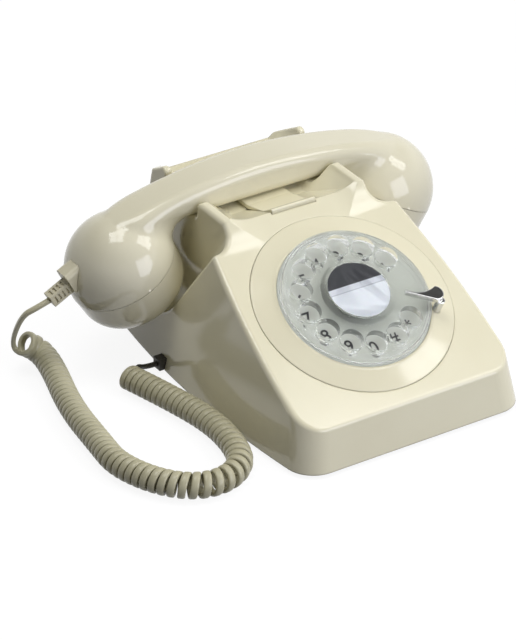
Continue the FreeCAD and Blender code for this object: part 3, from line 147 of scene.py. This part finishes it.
MULLION = 0.02
PANE_POWER = 17.5
for window_middle, wide, tall in ((Vector((-0.24, 0.16, 1.40)), 0.28, 0.28),
                                  (Vector((0.895, -0.532, 1.38)), 0.38, 0.24)):
    window_out = window_middle.normalized()
    window_along = window_out.cross(camera_right).normalized()
    window_across = window_along.cross(window_out).normalized()
    window_turn = Matrix((window_across, window_along, window_out)).transposed()
    for column in (-0.5, 0.5):
        for row in (-0.5, 0.5):
            aside = window_across * column * (wide + MULLION) + window_along * row * (tall + MULLION)
            bpy.ops.object.light_add(type="AREA", location=window_middle + aside,
                                     rotation=window_turn.to_euler())
            pane = bpy.context.active_object
            pane.name = "window_pane"
            pane.data.shape = "RECTANGLE"
            pane.data.size = wide
            pane.data.size_y = tall
            pane.data.energy = PANE_POWER * wide * tall

bpy.ops.object.light_add(type="AREA", location=(0.45, -1.3, 0.55))
fill = bpy.context.active_object
fill.name = "front_fill"
fill.data.size = 0.9
fill.data.energy = 10.3
fill.data.color = (0.85, 0.87, 1.0)
fill.rotation_euler = Vector((0.45, -1.3, 0.5)).to_track_quat("Z", "Y").to_euler()

# Handset cord: one length of flat ivory flex, wound to a springy coil between a short lead at the handset
# and a short end at the case. That end is painted near-black as painted shade, for the shadow it lies in
# by the case.
# The coil lies on the table, with its first ring lifted by the lead, and the lead follows the handset.

CORD = 0.0032
COIL_MEAN = 0.0059
COIL_Z = 0.0076
COIL_ROUTE = [(-0.1380, 0.0758, 0.0169), (-0.1285, 0.0785, 0.0095), (-0.1295, 0.0600, COIL_Z),
              (-0.1424, 0.0177, COIL_Z), (-0.1472, -0.0234, COIL_Z), (-0.1496, -0.0438, COIL_Z),
              (-0.1416, -0.0683, COIL_Z), (-0.1272, -0.0847, COIL_Z), (-0.1095, -0.0879, COIL_Z),
              (-0.0941, -0.0792, COIL_Z), (-0.0876, -0.0616, COIL_Z), (-0.0856, -0.0368, COIL_Z),
              (-0.0912, -0.0050, COIL_Z), (-0.10015, 0.02835, COIL_Z)]
LEAD_ROUTE = [(-0.12985, 0.0597, 0.04964), (-0.1373, 0.0603, 0.0470), (-0.1444, 0.0660, 0.0410)]
TAIL_ROUTE = [(-0.0861, 0.0337, 0.0060), (-0.0787, 0.0337, 0.0060)]
CLOSED_PITCH = 0.0040
OPEN_PITCH = 0.0058
START_PITCH = 0.0048
START_RUN = 0.030
STEPS_PER_TURN = 24
FIRST_STEP = 7
LEAD_RUN_IN = 0.0060
TAIL_RUN_OUT = 0.0050
CORD_SIDES = 14
THICKNESS = 0.0027
WIDTH_SHARE = 0.91
WIDEST = 0.0043
SQUARENESS = 0.62
# Bounds beyond which the cord's end by the case is coloured near-black as painted shade.
PAINTED_SHADE_X = -0.0945
PAINTED_SHADE_Y = 0.0270


def along_spline(name, points, resolution):
    """The points of a smooth open spline that has the given route as its control points."""
    line = bpy.data.curves.new(name, "CURVE")
    line.dimensions = "3D"
    spline = line.splines.new("NURBS")
    spline.points.add(len(points) - 1)
    for control, point in zip(spline.points, points):
        control.co = (*point, 1.0)
    spline.order_u = 3
    spline.use_endpoint_u = True
    spline.resolution_u = resolution
    holder = bpy.data.objects.new(name, line)
    bpy.context.collection.objects.link(holder)
    bpy.context.view_layer.update()
    read = bpy.data.meshes.new_from_object(holder)
    found = [vertex.co.copy() for vertex in read.vertices]
    bpy.data.objects.remove(holder)
    bpy.data.meshes.remove(read)
    bpy.data.curves.remove(line)
    return found


def distances(points):
    along = [0.0]
    for before, after in zip(points, points[1:]):
        along.append(along[-1] + (after - before).length)
    return along


def place_at(points, along, distance):
    """Point at a distance along a line of points, and the number of the run that it is on."""
    low = 0
    while low < len(points) - 2 and along[low + 1] < distance:
        low += 1
    share = (distance - along[low]) / (along[low + 1] - along[low])
    return points[low].lerp(points[low + 1], share), low


axis = along_spline("coil_axis", COIL_ROUTE, 40)
axis_along = distances(axis)
axis_long = axis_along[-1]


def pitch_at(distance):
    bend = math.exp(-((distance / axis_long - 0.61) / 0.13) ** 2)
    start = math.exp(-(distance / START_RUN) ** 2)
    return CLOSED_PITCH + (OPEN_PITCH - CLOSED_PITCH) * bend + (START_PITCH - CLOSED_PITCH) * start


stations = [0.0]
while stations[-1] < axis_long:
    stations.append(stations[-1] + pitch_at(stations[-1]) / STEPS_PER_TURN)
part_turn = STEPS_PER_TURN // 4
last = (len(stations) - 1 - part_turn) // STEPS_PER_TURN * STEPS_PER_TURN + part_turn
stretch = axis_long / stations[last]
coil = []
coil_ways = []
coil_widths = []
for step, station in enumerate(stations[:last + 1]):
    middle, low = place_at(axis, axis_along, station * stretch)
    ahead = (axis[low + 1] - axis[low]).normalized()
    right = Vector((ahead.y, -ahead.x, 0.0)).normalized()
    over = right.cross(ahead)
    turn = 2 * math.pi * (FIRST_STEP - step) / STEPS_PER_TURN
    coil.append(middle + (right * math.cos(turn) - over * math.sin(turn)) * COIL_MEAN)
    coil_ways.append(ahead)
    coil_widths.append(min(WIDTH_SHARE * pitch_at(station) * stretch, WIDEST))

lead_in = (coil[1] - coil[0]).normalized()
tail_out = (coil[-1] - coil[-2]).normalized()
lead_route = [Vector(point) for point in LEAD_ROUTE] + [coil[0] - lead_in * LEAD_RUN_IN, coil[0]]
tail_route = [coil[-1], coil[-1] + tail_out * TAIL_RUN_OUT] + [Vector(point) for point in TAIL_ROUTE]
lead = along_spline("lead_line", lead_route, 12)
tail = along_spline("tail_line", tail_route, 12)
cord_path = lead[:-1] + coil + tail[1:]


def carried(points, way):
    """Directions across a line of points, the first one given and the rest carried along it."""
    ways = []
    for index in range(len(points)):
        run = points[min(index + 1, len(points) - 1)] - points[max(index - 1, 0)]
        run.normalize()
        way = (way - run * way.dot(run)).normalized()
        ways.append(way)
    return ways


def slimmed(count, width):
    """Widths of a plain end of the cord, from the coil's width to the plain flex's."""
    return [width + (CORD - width) * min(1.0, k / 8) for k in range(count)]


lead_ways = carried(list(reversed(lead)), coil_ways[0])
tail_ways = carried(tail, coil_ways[-1])
cord_ways = list(reversed(lead_ways))[:-1] + coil_ways + tail_ways[1:]
cord_widths = (list(reversed(slimmed(len(lead), coil_widths[0])))[:-1] + coil_widths
               + slimmed(len(tail), coil_widths[-1])[1:])


def flat_tube(name, points, ways, widths, thickness, sides):
    """A closed tube of rounded oblong section: its width lies along the given directions."""
    shape = bmesh.new()
    rings = []
    for index, point in enumerate(points):
        run = points[min(index + 1, len(points) - 1)] - points[max(index - 1, 0)]
        run.normalize()
        wide = (ways[index] - run * ways[index].dot(run)).normalized()
        thick = run.cross(wide)
        ring = []
        for k in range(sides):
            angle = 2 * math.pi * (k + 0.5) / sides
            out = math.copysign(abs(math.cos(angle)) ** SQUARENESS, math.cos(angle))
            over = math.copysign(abs(math.sin(angle)) ** SQUARENESS, math.sin(angle))
            aside = wide * out * widths[index] / 2
            ring.append(shape.verts.new(point + aside + thick * over * thickness / 2))
        rings.append(ring)
    for near, far in zip(rings, rings[1:]):
        for k in range(sides):
            shape.faces.new((near[k], near[(k + 1) % sides], far[(k + 1) % sides], far[k]))
    shape.faces.new(list(reversed(rings[0])))
    shape.faces.new(rings[-1])
    bmesh.ops.recalc_face_normals(shape, faces=shape.faces)
    mesh = bpy.data.meshes.new(name)
    shape.to_mesh(mesh)
    shape.free()
    mesh.shade_smooth()
    piece = bpy.data.objects.new(name, mesh)
    bpy.context.collection.objects.link(piece)
    return piece


def plastic(name, colour, shade, roughness, mottle=24.0, grain=1400.0, depth=0.00004, edge=0.0):
    """Moulded plastic: a colour that drifts a little, a fine grain, uneven gloss and soft edges."""
    material, nodes, links = new_material(name)
    gloss = nodes["Principled BSDF"]
    place = nodes.new("ShaderNodeTexCoord")
    drift = nodes.new("ShaderNodeTexNoise")
    drift.inputs["Scale"].default_value = mottle
    drift.inputs["Detail"].default_value = 4.0
    links.new(place.outputs["Object"], drift.inputs["Vector"])
    tone = nodes.new("ShaderNodeValToRGB")
    tone.color_ramp.elements[0].position = 0.3
    tone.color_ramp.elements[0].color = (*shade, 1.0)
    tone.color_ramp.elements[1].position = 0.72
    tone.color_ramp.elements[1].color = (*colour, 1.0)
    links.new(drift.outputs["Fac"], tone.inputs["Fac"])
    links.new(tone.outputs["Color"], gloss.inputs["Base Color"])
    polish = nodes.new("ShaderNodeMapRange")
    polish.inputs["To Min"].default_value = roughness * 0.8
    polish.inputs["To Max"].default_value = roughness * 1.25
    links.new(drift.outputs["Fac"], polish.inputs["Value"])
    links.new(polish.outputs[0], gloss.inputs["Roughness"])
    skin = nodes.new("ShaderNodeTexNoise")
    skin.inputs["Scale"].default_value = grain
    links.new(place.outputs["Object"], skin.inputs["Vector"])
    bump = nodes.new("ShaderNodeBump")
    bump.inputs["Strength"].default_value = 0.25
    bump.inputs["Distance"].default_value = depth
    links.new(skin.outputs["Fac"], bump.inputs["Height"])
    if edge > 0:
        soft = nodes.new("ShaderNodeBevel")
        soft.samples = 6
        soft.inputs["Radius"].default_value = edge
        links.new(soft.outputs["Normal"], bump.inputs["Normal"])
    links.new(bump.outputs["Normal"], gloss.inputs["Normal"])
    return material


handset_cord = flat_tube("handset_cord", cord_path, cord_ways, cord_widths, THICKNESS, CORD_SIDES)
cord_flex = plastic("cord_flex", (0.53, 0.50, 0.34), (0.47, 0.44, 0.29), 0.33, mottle=60.0)
# Painted shade: a near-black copy of the flex's material for the cord's end by the case, which stands for
# the shadow there.
cord_painted_shade = plastic("cord_painted_shade", (0.052, 0.048, 0.037), (0.036, 0.033, 0.026), 0.45, mottle=60.0)
handset_cord.data.materials.append(cord_flex)
handset_cord.data.materials.append(cord_painted_shade)
# The faces at the cord's end by the case take the near-black painted shade.
for face in handset_cord.data.polygons:
    if face.center.x > PAINTED_SHADE_X and face.center.y > PAINTED_SHADE_Y:
        face.material_index = 1
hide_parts("cord_lead", "cord_curl", "cord_tail")
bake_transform(handset_cord)

# Base plate: a pressed steel sheet under the case, painted dark grey, with turned posts for the
# bell and the board. Four black rubber feet are glued on and four zinc screws hold the case.


def coat(node, material):
    piece = bpy.data.objects[node]
    piece.data.materials.clear()
    piece.data.materials.append(material)


def metal(name, colour, dull, roughness, drawn=(1.0, 1.0, 1.0), grain=160.0, edge=0.0):
    """Bare metal: a tone that drifts, with fine marks drawn out along one way."""
    material, nodes, links = new_material(name)
    gloss = nodes["Principled BSDF"]
    gloss.inputs["Metallic"].default_value = 1.0
    place = nodes.new("ShaderNodeTexCoord")
    line_up = nodes.new("ShaderNodeMapping")
    line_up.inputs["Scale"].default_value = drawn
    links.new(place.outputs["Object"], line_up.inputs["Vector"])
    marks = nodes.new("ShaderNodeTexNoise")
    marks.inputs["Scale"].default_value = grain
    marks.inputs["Detail"].default_value = 6.0
    links.new(line_up.outputs[0], marks.inputs["Vector"])
    tone = nodes.new("ShaderNodeValToRGB")
    tone.color_ramp.elements[0].position = 0.35
    tone.color_ramp.elements[0].color = (*dull, 1.0)
    tone.color_ramp.elements[1].position = 0.65
    tone.color_ramp.elements[1].color = (*colour, 1.0)
    links.new(marks.outputs["Fac"], tone.inputs["Fac"])
    links.new(tone.outputs["Color"], gloss.inputs["Base Color"])
    polish = nodes.new("ShaderNodeMapRange")
    polish.inputs["To Min"].default_value = roughness * 0.7
    polish.inputs["To Max"].default_value = roughness * 1.4
    links.new(marks.outputs["Fac"], polish.inputs["Value"])
    links.new(polish.outputs[0], gloss.inputs["Roughness"])
    bump = nodes.new("ShaderNodeBump")
    bump.inputs["Strength"].default_value = 0.12
    bump.inputs["Distance"].default_value = 0.00003
    links.new(marks.outputs["Fac"], bump.inputs["Height"])
    if edge > 0:
        soft = nodes.new("ShaderNodeBevel")
        soft.samples = 6
        soft.inputs["Radius"].default_value = edge
        links.new(soft.outputs["Normal"], bump.inputs["Normal"])
    links.new(bump.outputs["Normal"], gloss.inputs["Normal"])
    return material


coat("base_plate", plastic("plate_paint", (0.085, 0.087, 0.085), (0.06, 0.062, 0.06), 0.42, 40.0, 700.0,
                           0.0001))
coat("rubber_feet", plastic("foot_rubber", (0.03, 0.03, 0.028), (0.02, 0.02, 0.019), 0.75, 90.0, 1800.0,
                            0.00012))
zinc = metal("zinc_plate", (0.62, 0.62, 0.60), (0.50, 0.50, 0.49), 0.34)
coat("case_screws", zinc)

# Case: one glossy ivory moulding with a sloped face, four horns and a pocket for each end of the
# handset. It drops over the base plate and is screwed on from below.

case_ivory = plastic("case_ivory", (0.80, 0.755, 0.555), (0.77, 0.72, 0.52), 0.11, edge=0.0012)
coat("upper_case", case_ivory)

# Line socket and cord sleeve: a black moulded socket that is clipped into the rear wall, and a
# soft black rubber sleeve that is squeezed into a slot in the left wall round the handset cord.

socket_black = plastic("socket_black", (0.045, 0.045, 0.043), (0.03, 0.03, 0.03), 0.4)
coat("line_socket", socket_black)
coat("cord_grommet", plastic("sleeve_rubber", (0.040, 0.037, 0.029), (0.030, 0.028, 0.022), 0.55,
                             edge=0.0006))

# Dial surround: an ivory ring moulded in the case's plastic and clamped in its opening from behind.

coat("dial_surround", case_ivory)

# Number plate: a flat grey enamelled disc, held under the surround, with twelve black figures
# printed upright on it, one under each finger hole.

NUMBER_RING = 0.0308
FIRST_HOLE = math.radians(28.9)
HOLE_PITCH = math.radians(25.714)
DIAL_MIDDLE = Vector((0.0, -0.04121, 0.05708))
FACE_SLOPE = math.radians(28.13)
face_turn = Matrix.Rotation(FACE_SLOPE, 3, "X")
FIGURE_TALL = 0.0104
FIGURE_SWELL = 0.00014
INK = 0.00004
PRINT_LIFT = 0.00302
UPPER_DROP = 0.0026
LOWER_DROP = 0.0003
coat("number_plate", plastic("number_enamel", (0.50, 0.515, 0.46), (0.46, 0.475, 0.42), 0.3, 30.0))
figures = []
for index, sign in enumerate("1234567890#*"):
    bpy.ops.object.select_all(action="DESELECT")
    bpy.ops.object.text_add(location=(0, 0, 0))
    figure = bpy.context.active_object
    figure.data.body = sign
    figure.data.size = FIGURE_TALL
    figure.data.offset = FIGURE_SWELL
    figure.data.extrude = INK
    figure.data.resolution_u = 5
    bpy.ops.object.convert(target="MESH")
    bpy.ops.object.origin_set(type="ORIGIN_GEOMETRY", center="BOUNDS")
    figure = bpy.context.active_object
    round_dial = FIRST_HOLE + index * HOLE_PITCH
    low = UPPER_DROP if math.sin(round_dial) > 0.3 else LOWER_DROP
    across, along = NUMBER_RING * math.cos(round_dial), NUMBER_RING * math.sin(round_dial)
    spot = Vector((across, along - low, PRINT_LIFT))
    figure.location = DIAL_MIDDLE + face_turn @ spot
    figure.rotation_euler = (FACE_SLOPE, 0.0, 0.0)
    bpy.ops.object.transform_apply(location=True, rotation=True, scale=True)
    figures.append(figure)
bpy.ops.object.select_all(action="DESELECT")
for figure in figures:
    figure.select_set(True)
dial_figures = figures[0]
bpy.context.view_layer.objects.active = dial_figures
bpy.ops.object.join()
bpy.ops.object.mode_set(mode="EDIT")
bpy.ops.mesh.select_all(action="SELECT")
bpy.ops.mesh.remove_doubles(threshold=0.000001)
bpy.ops.mesh.normals_make_consistent(inside=False)
bpy.ops.object.mode_set(mode="OBJECT")
dial_figures.name = "dial_figures"
dial_figures.data.materials.clear()
figure_ink = plastic("figure_ink", (0.022, 0.022, 0.024), (0.015, 0.015, 0.017), 0.5)
dial_figures.data.materials.append(figure_ink)
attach(dial_figures, "base")

# Finger stop: a curved blade on a round post, pressed from steel and chromium plated, bolted
# through the surround.

coat("finger_stop", metal("stop_chrome", (0.70, 0.70, 0.69), (0.62, 0.62, 0.61), 0.03, edge=0.0011))

# Dial works behind the face: a steel frame on three posts with the pulse contacts, a brass gear
# and pinion, the shaft and the drum that holds the clock spring.

works_steel = metal("works_steel", (0.56, 0.56, 0.55), (0.44, 0.44, 0.43), 0.3, (1.0, 8.0, 1.0))
works_brass = metal("works_brass", (0.70, 0.52, 0.22), (0.58, 0.42, 0.17), 0.26, (1.0, 1.0, 6.0))
for node in ("dial_frame", "dial_shaft", "spring_drum"):
    coat(node, works_steel)
for node in ("dial_gear", "pulse_spindle"):
    coat(node, works_brass)
coat("pulse_contacts", socket_black)

# Finger wheel: one clear acrylic moulding with twelve finger holes and a raised hub, clamped to
# the dial shaft. Its edges are rounded and its faces polished.


def clear_plastic(name, tint, thin, roughness, edge, body):
    """Polished clear plastic with a faint tint and faint swirls; body is how much of it shows."""
    material, nodes, links = new_material(name)
    gloss = nodes["Principled BSDF"]
    gloss.inputs["Transmission Weight"].default_value = 1.0
    gloss.inputs["IOR"].default_value = 1.40
    gloss.inputs["Alpha"].default_value = body
    place = nodes.new("ShaderNodeTexCoord")
    swirl = nodes.new("ShaderNodeTexNoise")
    swirl.inputs["Scale"].default_value = 70.0
    swirl.inputs["Detail"].default_value = 3.0
    links.new(place.outputs["Object"], swirl.inputs["Vector"])
    tone = nodes.new("ShaderNodeValToRGB")
    tone.color_ramp.elements[0].color = (*tint, 1.0)
    tone.color_ramp.elements[1].color = (*thin, 1.0)
    links.new(swirl.outputs["Fac"], tone.inputs["Fac"])
    links.new(tone.outputs["Color"], gloss.inputs["Base Color"])
    polish = nodes.new("ShaderNodeMapRange")
    polish.inputs["To Min"].default_value = roughness * 0.5
    polish.inputs["To Max"].default_value = roughness * 1.5
    links.new(swirl.outputs["Fac"], polish.inputs["Value"])
    links.new(polish.outputs[0], gloss.inputs["Roughness"])
    soft = nodes.new("ShaderNodeBevel")
    soft.samples = 6
    soft.inputs["Radius"].default_value = edge
    links.new(soft.outputs["Normal"], gloss.inputs["Normal"])
    return material


coat("finger_wheel", clear_plastic("wheel_acrylic", (0.93, 0.95, 0.935), (0.97, 0.98, 0.97), 0.03, 0.0006,
                                   0.82))

# Dial label: a round printed card, charcoal above a grey line and white below it, lying in the
# hub under a thin clear window.

LABEL_RADIUS = 0.0175
card, nodes, links = new_material("label_card")
paper = nodes["Principled BSDF"]
place = nodes.new("ShaderNodeTexCoord")
on_face = nodes.new("ShaderNodeMapping")
on_face.vector_type = "TEXTURE"
on_face.inputs["Location"].default_value = DIAL_MIDDLE
on_face.inputs["Rotation"].default_value = (FACE_SLOPE, 0.0, 0.0)
links.new(place.outputs["Object"], on_face.inputs["Vector"])
up_face = nodes.new("ShaderNodeSeparateXYZ")
links.new(on_face.outputs[0], up_face.inputs[0])
height = nodes.new("ShaderNodeMapRange")
height.inputs["From Min"].default_value = -LABEL_RADIUS
height.inputs["From Max"].default_value = LABEL_RADIUS
links.new(up_face.outputs["Y"], height.inputs["Value"])
bands = nodes.new("ShaderNodeValToRGB")
bands.color_ramp.interpolation = "CONSTANT"
bands.color_ramp.elements[0].color = (0.83, 0.87, 0.90, 1.0)
for low, shade in ((0.0006, (0.50, 0.53, 0.57)), (0.0012, (0.72, 0.75, 0.79)),
                   (0.0045, (0.048, 0.05, 0.056))):
    band = bands.color_ramp.elements.new((low + LABEL_RADIUS) / (2 * LABEL_RADIUS))
    band.color = (*shade, 1.0)
bands.color_ramp.elements.remove(bands.color_ramp.elements[-1])
links.new(height.outputs[0], bands.inputs["Fac"])
fibre = nodes.new("ShaderNodeTexNoise")
fibre.inputs["Scale"].default_value = 900.0
links.new(place.outputs["Object"], fibre.inputs["Vector"])
worn = nodes.new("ShaderNodeMix")
worn.data_type = "RGBA"
worn.blend_type = "MULTIPLY"
worn.inputs["Factor"].default_value = 0.12
links.new(bands.outputs["Color"], worn.inputs["A"])
links.new(fibre.outputs["Color"], worn.inputs["B"])
links.new(worn.outputs["Result"], paper.inputs["Base Color"])
tooth = nodes.new("ShaderNodeMapRange")
tooth.inputs["To Min"].default_value = 0.35
tooth.inputs["To Max"].default_value = 0.55
links.new(fibre.outputs["Fac"], tooth.inputs["Value"])
links.new(tooth.outputs[0], paper.inputs["Roughness"])
coat("dial_label", card)
coat("label_window", clear_plastic("window_clear", (0.97, 0.975, 0.97), (0.99, 0.99, 0.99), 0.02, 0.0002,
                                   0.15))

# Hook bar: the ivory bar between the horns that the handset presses down. Its stem stands on a
# steel spring over the hook switch.

coat("hook_bar", case_ivory)
coat("hook_switch", socket_black)
SPRING_TURNS = 7
SPRING_LOW = 0.0320
SPRING_HIGH = 0.0518
SPRING_WIRE = 0.0004
SPRING_MEAN = 0.0029
STEM_Y = 0.0700
bpy.ops.object.select_all(action="DESELECT")
bpy.ops.mesh.primitive_circle_add(vertices=8, radius=SPRING_WIRE, location=(SPRING_MEAN, 0, 0),
                                  rotation=(math.radians(90), 0, 0))
hook_spring_coil = bpy.context.active_object
hook_spring_coil.name = "hook_spring_coil"
bpy.ops.object.transform_apply(location=True, rotation=True, scale=True)
winding = hook_spring_coil.modifiers.new("winding", "SCREW")
winding.axis = "Z"
winding.screw_offset = (SPRING_HIGH - SPRING_LOW - 2 * SPRING_WIRE) / SPRING_TURNS
winding.iterations = SPRING_TURNS
winding.steps = 20
winding.render_steps = 20
bpy.ops.object.modifier_apply(modifier="winding")
bpy.ops.object.mode_set(mode="EDIT")
bpy.ops.mesh.select_all(action="SELECT")
bpy.ops.mesh.remove_doubles(threshold=0.00001)
bpy.ops.mesh.select_all(action="DESELECT")
bpy.ops.mesh.select_non_manifold()
bpy.ops.mesh.fill_holes(sides=0)
bpy.ops.mesh.select_all(action="SELECT")
bpy.ops.mesh.normals_make_consistent(inside=False)
bpy.ops.object.mode_set(mode="OBJECT")
hook_spring_coil.location = (0, STEM_Y, SPRING_LOW + SPRING_WIRE)
bpy.ops.object.transform_apply(location=True, rotation=True, scale=True)
bpy.ops.object.shade_smooth_by_angle(angle=math.radians(50))
spring_steel = metal("spring_steel", (0.52, 0.52, 0.53), (0.42, 0.42, 0.43), 0.25)
hook_spring_coil.data.materials.append(spring_steel)
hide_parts("hook_spring")
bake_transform(hook_spring_coil)

# Bell: two nickel-plated gongs on posts, the brass clapper that swings between them on a pin, and
# the iron yoke that carries the drive coil.

nickel = metal("gong_nickel", (0.66, 0.64, 0.58), (0.58, 0.56, 0.50), 0.16, (1.0, 1.0, 5.0))
for node in ("bell_gong_left", "bell_gong_right"):
    coat(node, nickel)
coat("bell_screws", zinc)
coat("clapper", works_brass)
coat("clapper_pin", works_steel)
coat("ringer_yoke", works_steel)
winding_lacquer, nodes, links = new_material("coil_winding")
gloss = nodes["Principled BSDF"]
place = nodes.new("ShaderNodeTexCoord")
turns = nodes.new("ShaderNodeTexWave")
turns.bands_direction = "X"
turns.inputs["Scale"].default_value = 900.0
turns.inputs["Distortion"].default_value = 0.4
links.new(place.outputs["Object"], turns.inputs["Vector"])
copper = nodes.new("ShaderNodeValToRGB")
copper.color_ramp.elements[0].color = (0.18, 0.055, 0.025, 1.0)
copper.color_ramp.elements[1].color = (0.46, 0.17, 0.075, 1.0)
links.new(turns.outputs["Fac"], copper.inputs["Fac"])
links.new(copper.outputs["Color"], gloss.inputs["Base Color"])
ridge = nodes.new("ShaderNodeBump")
ridge.inputs["Strength"].default_value = 0.5
ridge.inputs["Distance"].default_value = 0.0001
links.new(turns.outputs["Fac"], ridge.inputs["Height"])
links.new(ridge.outputs["Normal"], gloss.inputs["Normal"])
gloss.inputs["Roughness"].default_value = 0.32
coat("ringer_coil", winding_lacquer)

# Circuit board: green glass-fibre board on four posts with copper tracks under the lacquer, and
# black moulded components soldered on it.

board_green, nodes, links = new_material("board_lacquer")
gloss = nodes["Principled BSDF"]
gloss.inputs["Roughness"].default_value = 0.35
place = nodes.new("ShaderNodeTexCoord")
tracks = nodes.new("ShaderNodeTexBrick")
tracks.inputs["Scale"].default_value = 60.0
tracks.inputs["Mortar Size"].default_value = 0.035
tracks.inputs["Color1"].default_value = (0.02, 0.105, 0.04, 1.0)
tracks.inputs["Color2"].default_value = (0.03, 0.135, 0.05, 1.0)
tracks.inputs["Mortar"].default_value = (0.075, 0.25, 0.10, 1.0)
links.new(place.outputs["Object"], tracks.inputs["Vector"])
links.new(tracks.outputs["Color"], gloss.inputs["Base Color"])
raised = nodes.new("ShaderNodeBump")
raised.inputs["Strength"].default_value = 0.3
raised.inputs["Distance"].default_value = 0.00005
links.new(tracks.outputs["Fac"], raised.inputs["Height"])
links.new(raised.outputs["Normal"], gloss.inputs["Normal"])
coat("circuit_board", board_green)
coat("board_components", plastic("component_black", (0.05, 0.05, 0.052), (0.03, 0.03, 0.032), 0.45, 60.0))

# Handset: an ivory moulded handle that swells into a bulb at each end. A screwed cap with sound
# holes closes each bulb and holds a capsule, and a ribbed sleeve guards the cord.

handset_ivory = plastic("handset_ivory", (0.74, 0.70, 0.535), (0.71, 0.67, 0.50), 0.07, edge=0.0008)
for node in ("handset_shell", "ear_cap", "mouth_cap"):
    coat(node, handset_ivory)
capsule_metal = metal("capsule_metal", (0.50, 0.50, 0.49), (0.40, 0.40, 0.39), 0.4)
for node in ("receiver_capsule", "microphone_capsule"):
    coat(node, capsule_metal)
coat("handset_cord_relief", plastic("relief_ivory", (0.66, 0.615, 0.45), (0.60, 0.56, 0.40), 0.35,
                                    edge=0.0006))
